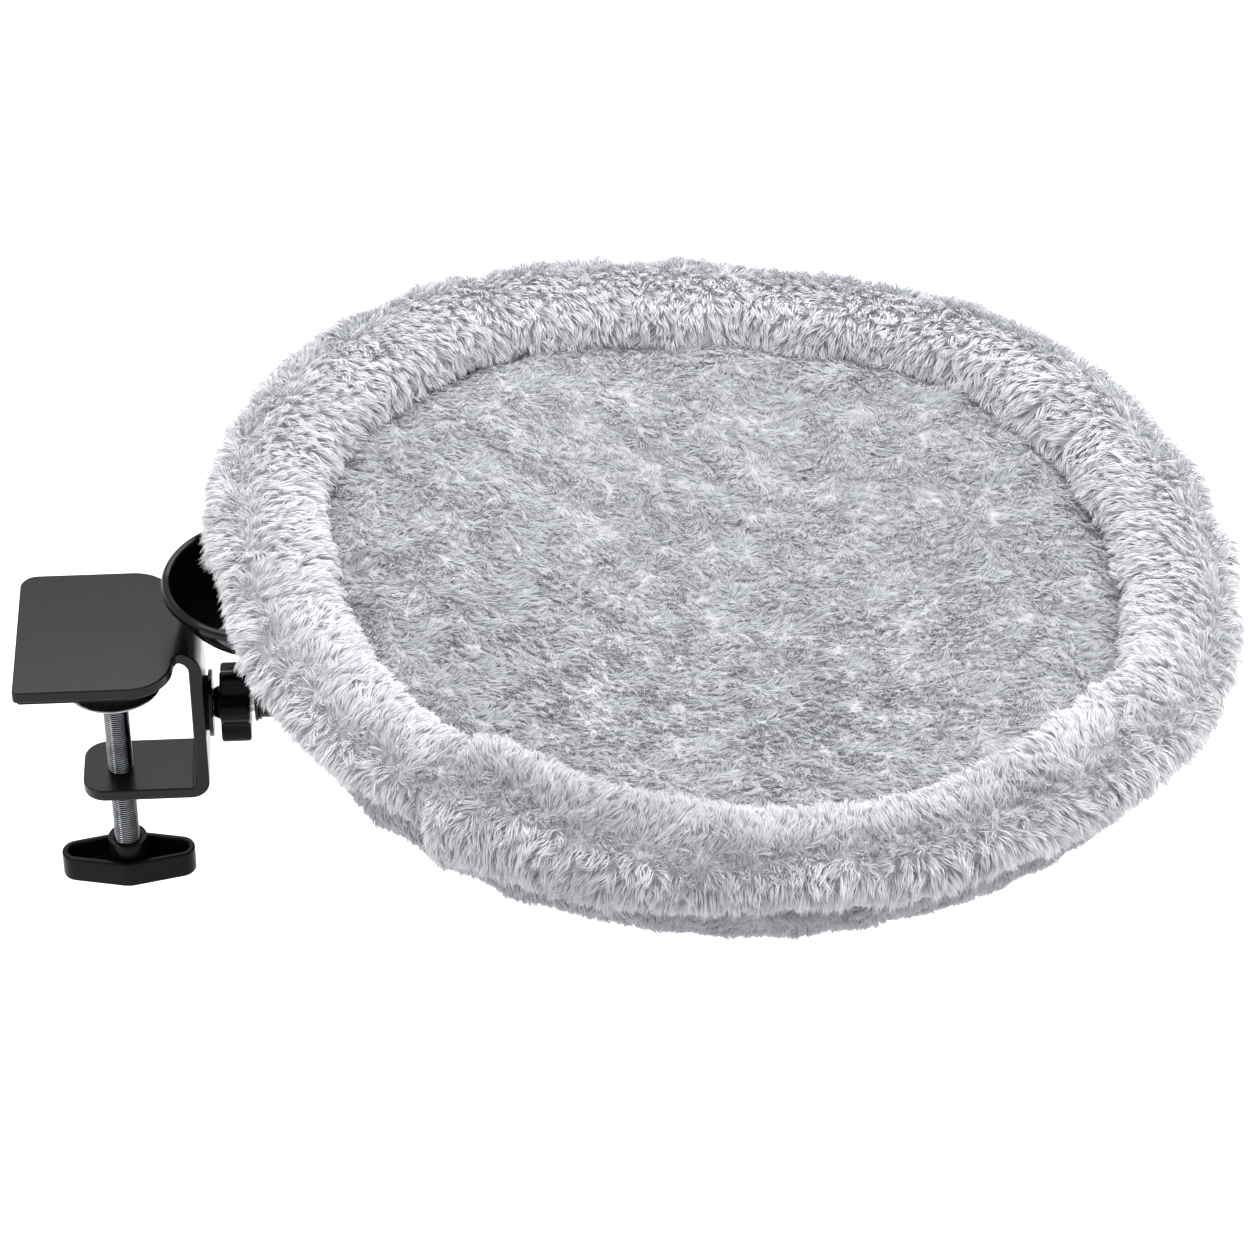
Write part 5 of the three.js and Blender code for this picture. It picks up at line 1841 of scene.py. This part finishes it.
        # the crease's painted shade from the roll is taken off; the open end gets a painted highlight, and
        # the whole fold painted shade, more on its lower part and its inner slope
        combed.tones = combed.tones + 0.6 * beside + 0.2 * end - 0.2 * low - 0.45 * hollow - 0.1
        return combed

    def backing(self, name: str, skin: Skin, finish: Finish, stands_for: str) -> None:
        """Makes a backing surface into a padded piece.

        Args:
            name: the piece's name.
            skin: its surface.
            finish: what it is made of.
            stands_for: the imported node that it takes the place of.
        """
        faces = [tuple(int(i) for i in t) for t in skin.triangles]
        piece = make(name, self.place.out(skin.points), faces, finish, Body.ARM, (stands_for,), crease=70)

    def pile(self, name: str, grown: Pile, finish: Finish) -> None:
        """Makes grown fibres into pieces of a size that every viewer can hold.

        Args:
            name: what the pieces are called, before their number.
            grown: the fibres.
            finish: what they are made of.
        """
        azimuth = np.arctan2(grown.roots[:, 1], grown.roots[:, 0]) % (2 * math.pi)
        rim, corners = grown.points.shape[1], len(grown.blade)
        pieces = max(1, math.ceil(len(azimuth) * corners / 3 / MOST_FACES))
        bounds = np.quantile(azimuth, np.linspace(0, 1, pieces + 1))
        points = self.place.out(grown.points.reshape(-1, 3)).reshape(-1, rim, 3)
        for k in range(pieces):
            mine = (azimuth >= bounds[k]) & ((azimuth < bounds[k + 1]) | (k == pieces - 1))
            count = int(mine.sum())
            order = ((np.arange(count) * rim)[:, None] + grown.blade).reshape(-1).astype(np.int32)
            mesh = bpy.data.meshes.new(f"{name}_{k + 1}")
            mesh.vertices.add(count * rim)
            mesh.vertices.foreach_set("co", points[mine].reshape(-1).astype(np.float32))
            mesh.loops.add(len(order))
            mesh.loops.foreach_set("vertex_index", order)
            mesh.polygons.add(len(order) // 3)
            mesh.polygons.foreach_set("loop_start", np.arange(0, len(order), 3, dtype=np.int32))
            mesh.update(calc_edges=True)
            mesh.polygons.foreach_set("use_smooth", np.ones(len(order) // 3, bool))
            for key, values in (("along", grown.along), ("tone", grown.tone)):
                layer = mesh.attributes.new(key, "FLOAT", "POINT")
                layer.data.foreach_set("value", values[mine].reshape(-1).astype(np.float32))
            mesh.materials.append(finish.material)
            piece = bpy.data.objects.new(f"{name}_{k + 1}", mesh)
            bpy.context.scene.collection.objects.link(piece)
            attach(piece, Body.ARM.value)
            LOG.info("%s: %d fibres", piece.name, count)

    def underside(self) -> tuple[Array, list]:
        """The cloth panel under the bed, a little slack between its seam and the support plate.

        Returns:
            Points and faces.
        """
        azimuths = np.linspace(0, 2 * math.pi, 160, endpoint=False)
        rings = []
        for radius in [0.153, 0.1505, 0.148, 0.1455, *np.linspace(0.142, 0.001, 26)]:
            slack = -0.0006 - 0.0016 * math.sin(math.pi * min(1.0, max(0.0, (0.148 - radius) / 0.063))) ** 2
            seam = 0.0022 if radius > 0.149 else 0.0
            fade = max(0.0, min(1.0, (radius - 0.118) / 0.03))
            gathers = 0.0007 * np.sin(46 * azimuths + 2 * np.sin(5 * azimuths)) * fade
            rings.append(np.stack([radius * np.cos(azimuths), radius * np.sin(azimuths),
                                   -self.shell_depth + 0.0006 + slack + seam + gathers], 1))
        points, faces = stack(rings)
        return points, faces[:-2]

    def build(self) -> None:
        """Builds the backing and pile of each soft part, and dresses what is hidden in them."""
        roll, wall = self.roll_skin(), self.wall_skin()
        cushion, fold = self.cushion_skin(), self.fold_skin()
        self.backing("rim_roll", roll, Finish.BACKING, "bolster_roll")
        self.pile("rim_roll_pile", grow(roll, self.roll_cut, self.comb_roll, 21), Finish.PILE)
        self.backing("wall_padding", wall, Finish.SHELL_BACKING, "bed_shell")
        self.pile("wall_pile", grow(wall, self.wall_cut, self.comb_wall, 22), Finish.SHELL_PILE)
        self.backing("loose_cushion", cushion, Finish.BACKING, "floor_cushion")
        self.pile("loose_cushion_pile", grow(cushion, self.cushion_cut, self.comb_cushion, 23),
                  Finish.PILE)
        self.backing("rim_fold", fold, Finish.BACKING, "bolster_cuff")
        self.pile("rim_fold_pile", grow(fold, self.fold_cut, self.comb_fold, 24), Finish.PILE)
        points, faces = self.underside()
        make("underside_panel", self.place.out(points), faces, Finish.UNDERSIDE, Body.ARM, crease=70)
        dress("rim_hoop", Finish.SPRING_STEEL)
        dress("hoop_ferrule", Finish.SPRING_STEEL)
        dress("base_board", Finish.PLYWOOD)
        for number in range(1, 5):
            dress(f"tee_nut_{number}", Finish.ZINC)


@dataclass
class BedSupport:
    """The plate, saddles and screws under the bed."""

    place: BedFrame = field(default_factory=BedFrame)
    plate_radius: float = 0.085
    plate_top: float = -0.0773
    plate: float = 0.003
    hole_circle: float = 0.062
    head: tuple[float, float] = (0.005, 0.003)  # radius and height of a screw's head
    edge: float = 0.0006

    def build(self) -> None:
        """Builds the plate and the screw heads, and dresses the saddles and the end cap."""
        low = self.plate_top - self.plate
        disc = turned(eased([(0.0, low), (self.plate_radius, low), (self.plate_radius, self.plate_top),
                             (0.0, self.plate_top)], 0.0008), sides=120)
        make("round_plate", self.place.out(disc[0]), disc[1], Finish.POWDER_BLACK, Body.ARM,
             ("support_plate",))
        for number in range(1, 5):
            turn = math.radians(90 * number - 45)
            seat = (self.hole_circle * math.cos(turn), self.hole_circle * math.sin(turn), low - 0.0003)
            head = ArmAndDish().pan_head(seat, *self.head, up=False)
            make(f"plate_screw_{number}", self.place.out(head[0]), head[1], Finish.ZINC, Body.ARM,
                 (f"support_screw_{number}",))
        for node in ("saddle_near", "saddle_far"):
            dress(node, Finish.POWDER_BLACK)
            self.ease(node)
        dress("arm_end_cap", Finish.PLASTIC_BLACK)

    def ease(self, node: str) -> None:
        """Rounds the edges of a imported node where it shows.

        Args:
            node: the node's name.
        """
        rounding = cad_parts[node].modifiers.new("eased_edges", "BEVEL")
        rounding.width = self.edge
        rounding.segments = 2
        rounding.limit_method = "ANGLE"
        rounding.angle_limit = math.radians(50)


@dataclass
class Studio:
    """Camera, soft lamps and a plain pale floor."""

    azimuth: float = -3.8
    elevation: float = 38.19
    roll: float = 0.26
    lens: float = 119.37
    eye: tuple[float, float, float] = (0.1393, -1.5225, 1.1993)
    aim: tuple[float, float, float] = (0.24, 0.0, 0.02)
    lamps: tuple[tuple[str, tuple[float, float, float], float, float], ...] = (  # name, place, side and watts
        ("overhead", (0.10, 0.75, 1.55), 1.6, 29.0),
        ("front_left", (-1.42, -0.80, 1.3), 0.55, 11.5),
        ("right_fill", (1.8, 0.0, 1.2), 1.2, 21.0))
    sky: float = 0.62  # how strongly the white surroundings light the object
    floor: float = -0.26
    floor_reach: float = 6.0
    floor_glow: float = 0.5

    def camera(self) -> None:
        """Places the camera where the photograph was taken from."""
        a, e, r = (math.radians(v) for v in (self.azimuth, self.elevation, self.roll))
        back = Vector((math.sin(a) * math.cos(e), -math.cos(a) * math.cos(e), math.sin(e)))
        right = Vector((math.cos(a), math.sin(a), 0.0))
        up = back.cross(right)
        right, up = right * math.cos(r) + up * math.sin(r), up * math.cos(r) - right * math.sin(r)
        data = bpy.data.cameras.new("photo_camera")
        data.lens = self.lens
        data.sensor_width = 36.0
        data.clip_start, data.clip_end = 0.05, 50.0
        camera = bpy.data.objects.new("photo_camera", data)
        bpy.context.scene.collection.objects.link(camera)
        camera.matrix_world = Matrix((
            (right.x, up.x, back.x, self.eye[0]),
            (right.y, up.y, back.y, self.eye[1]),
            (right.z, up.z, back.z, self.eye[2]),
            (0, 0, 0, 1),
        ))
        bpy.context.scene.camera = camera

    def lamp(self, name: str, place: tuple[float, float, float], size: float, power: float) -> None:
        """Hangs a soft square lamp that faces the bed.

        Args:
            name: the lamp's name.
            place: where it hangs.
            size: length of its side.
            power: in watts.
        """
        data = bpy.data.lights.new(name, "AREA")
        data.shape = "SQUARE"
        data.size = size
        data.energy = power
        lamp = bpy.data.objects.new(name, data)
        bpy.context.scene.collection.objects.link(lamp)
        lamp.location = place
        aim = Vector(self.aim) - Vector(place)
        lamp.rotation_mode = "QUATERNION"
        lamp.rotation_quaternion = aim.to_track_quat("-Z", "Y")

    def seen(self, tree: bpy.types.NodeTree) -> bpy.types.NodeSocket:
        """Tells what looks at the surroundings.

        Args:
            tree: the node tree that asks.

        Returns:
            One for the camera, a shiny surface or glass, and zero for the light on the object.
        """
        rays = tree.nodes.new("ShaderNodeLightPath").outputs
        first, both = tree.nodes.new("ShaderNodeMath"), tree.nodes.new("ShaderNodeMath")
        first.operation = both.operation = "MAXIMUM"
        tree.links.new(rays["Is Camera Ray"], first.inputs[0])
        tree.links.new(rays["Is Glossy Ray"], first.inputs[1])
        tree.links.new(first.outputs[0], both.inputs[0])
        tree.links.new(rays["Is Transmission Ray"], both.inputs[1])
        return both.outputs[0]

    def room(self) -> None:
        """Makes the white surroundings and the floor."""
        world = bpy.data.worlds.new("white_room")
        bpy.context.scene.world = world
        world.use_nodes = True
        tree = world.node_tree
        sky = tree.nodes["Background"].inputs
        sky["Color"].default_value = (1, 1, 1, 1)
        strength = tree.nodes.new("ShaderNodeMapRange")
        strength.inputs["To Min"].default_value = self.sky
        strength.inputs["To Max"].default_value = 1.0
        tree.links.new(self.seen(tree), strength.inputs["Value"])
        tree.links.new(strength.outputs["Result"], sky["Strength"])
        mesh = bpy.data.meshes.new("pale_floor")
        corners = [(-1, -1), (1, -1), (1, 1), (-1, 1)]
        mesh.from_pydata([(x * self.floor_reach, y * self.floor_reach, self.floor) for x, y in corners], [],
                         [(0, 1, 2, 3)])
        bench = Bench("pale_floor")
        bench.fix({"Base Color": (0.9, 0.9, 0.9, 1), "Roughness": 0.9, "Specular IOR Level": 0.1})
        glow = bench.add("ShaderNodeEmission", {"Color": (1, 1, 1, 1)})
        both = bench.add("ShaderNodeAddShader")
        bench.join(bench.surface.outputs[0], both.inputs[0])
        bench.join(glow.outputs[0], both.inputs[1])
        output = next(n for n in bench.tree.nodes if n.type == "OUTPUT_MATERIAL")
        soft = bench.add("ShaderNodeMath", {1: self.floor_glow}, operation="MULTIPLY")
        bench.join(self.seen(bench.tree), soft.inputs[0])
        bench.join(soft.outputs[0], glow.inputs["Strength"])
        bench.join(both.outputs[0], output.inputs["Surface"])
        mesh.materials.append(bench.material)
        floor = bpy.data.objects.new("pale_floor", mesh)
        bpy.context.scene.collection.objects.link(floor)

    def build(self) -> None:
        """Sets up the camera, the room and the lamps."""
        self.camera()
        self.room()
        for name, place, size, power in self.lamps:
            self.lamp(name, place, size, power)
        bpy.context.scene.view_settings.view_transform = "Standard"


def main() -> None:
    """Builds the whole object in order."""
    logging.basicConfig(level=logging.INFO, format="%(message)s")
    Studio().build()
    ClampHead().build()
    ScrewPress().build()
    TiltLock().build()
    ArmAndDish().build()
    BedSupport().build()
    PlushBed().build()


if __name__ == "__main__":
    main()
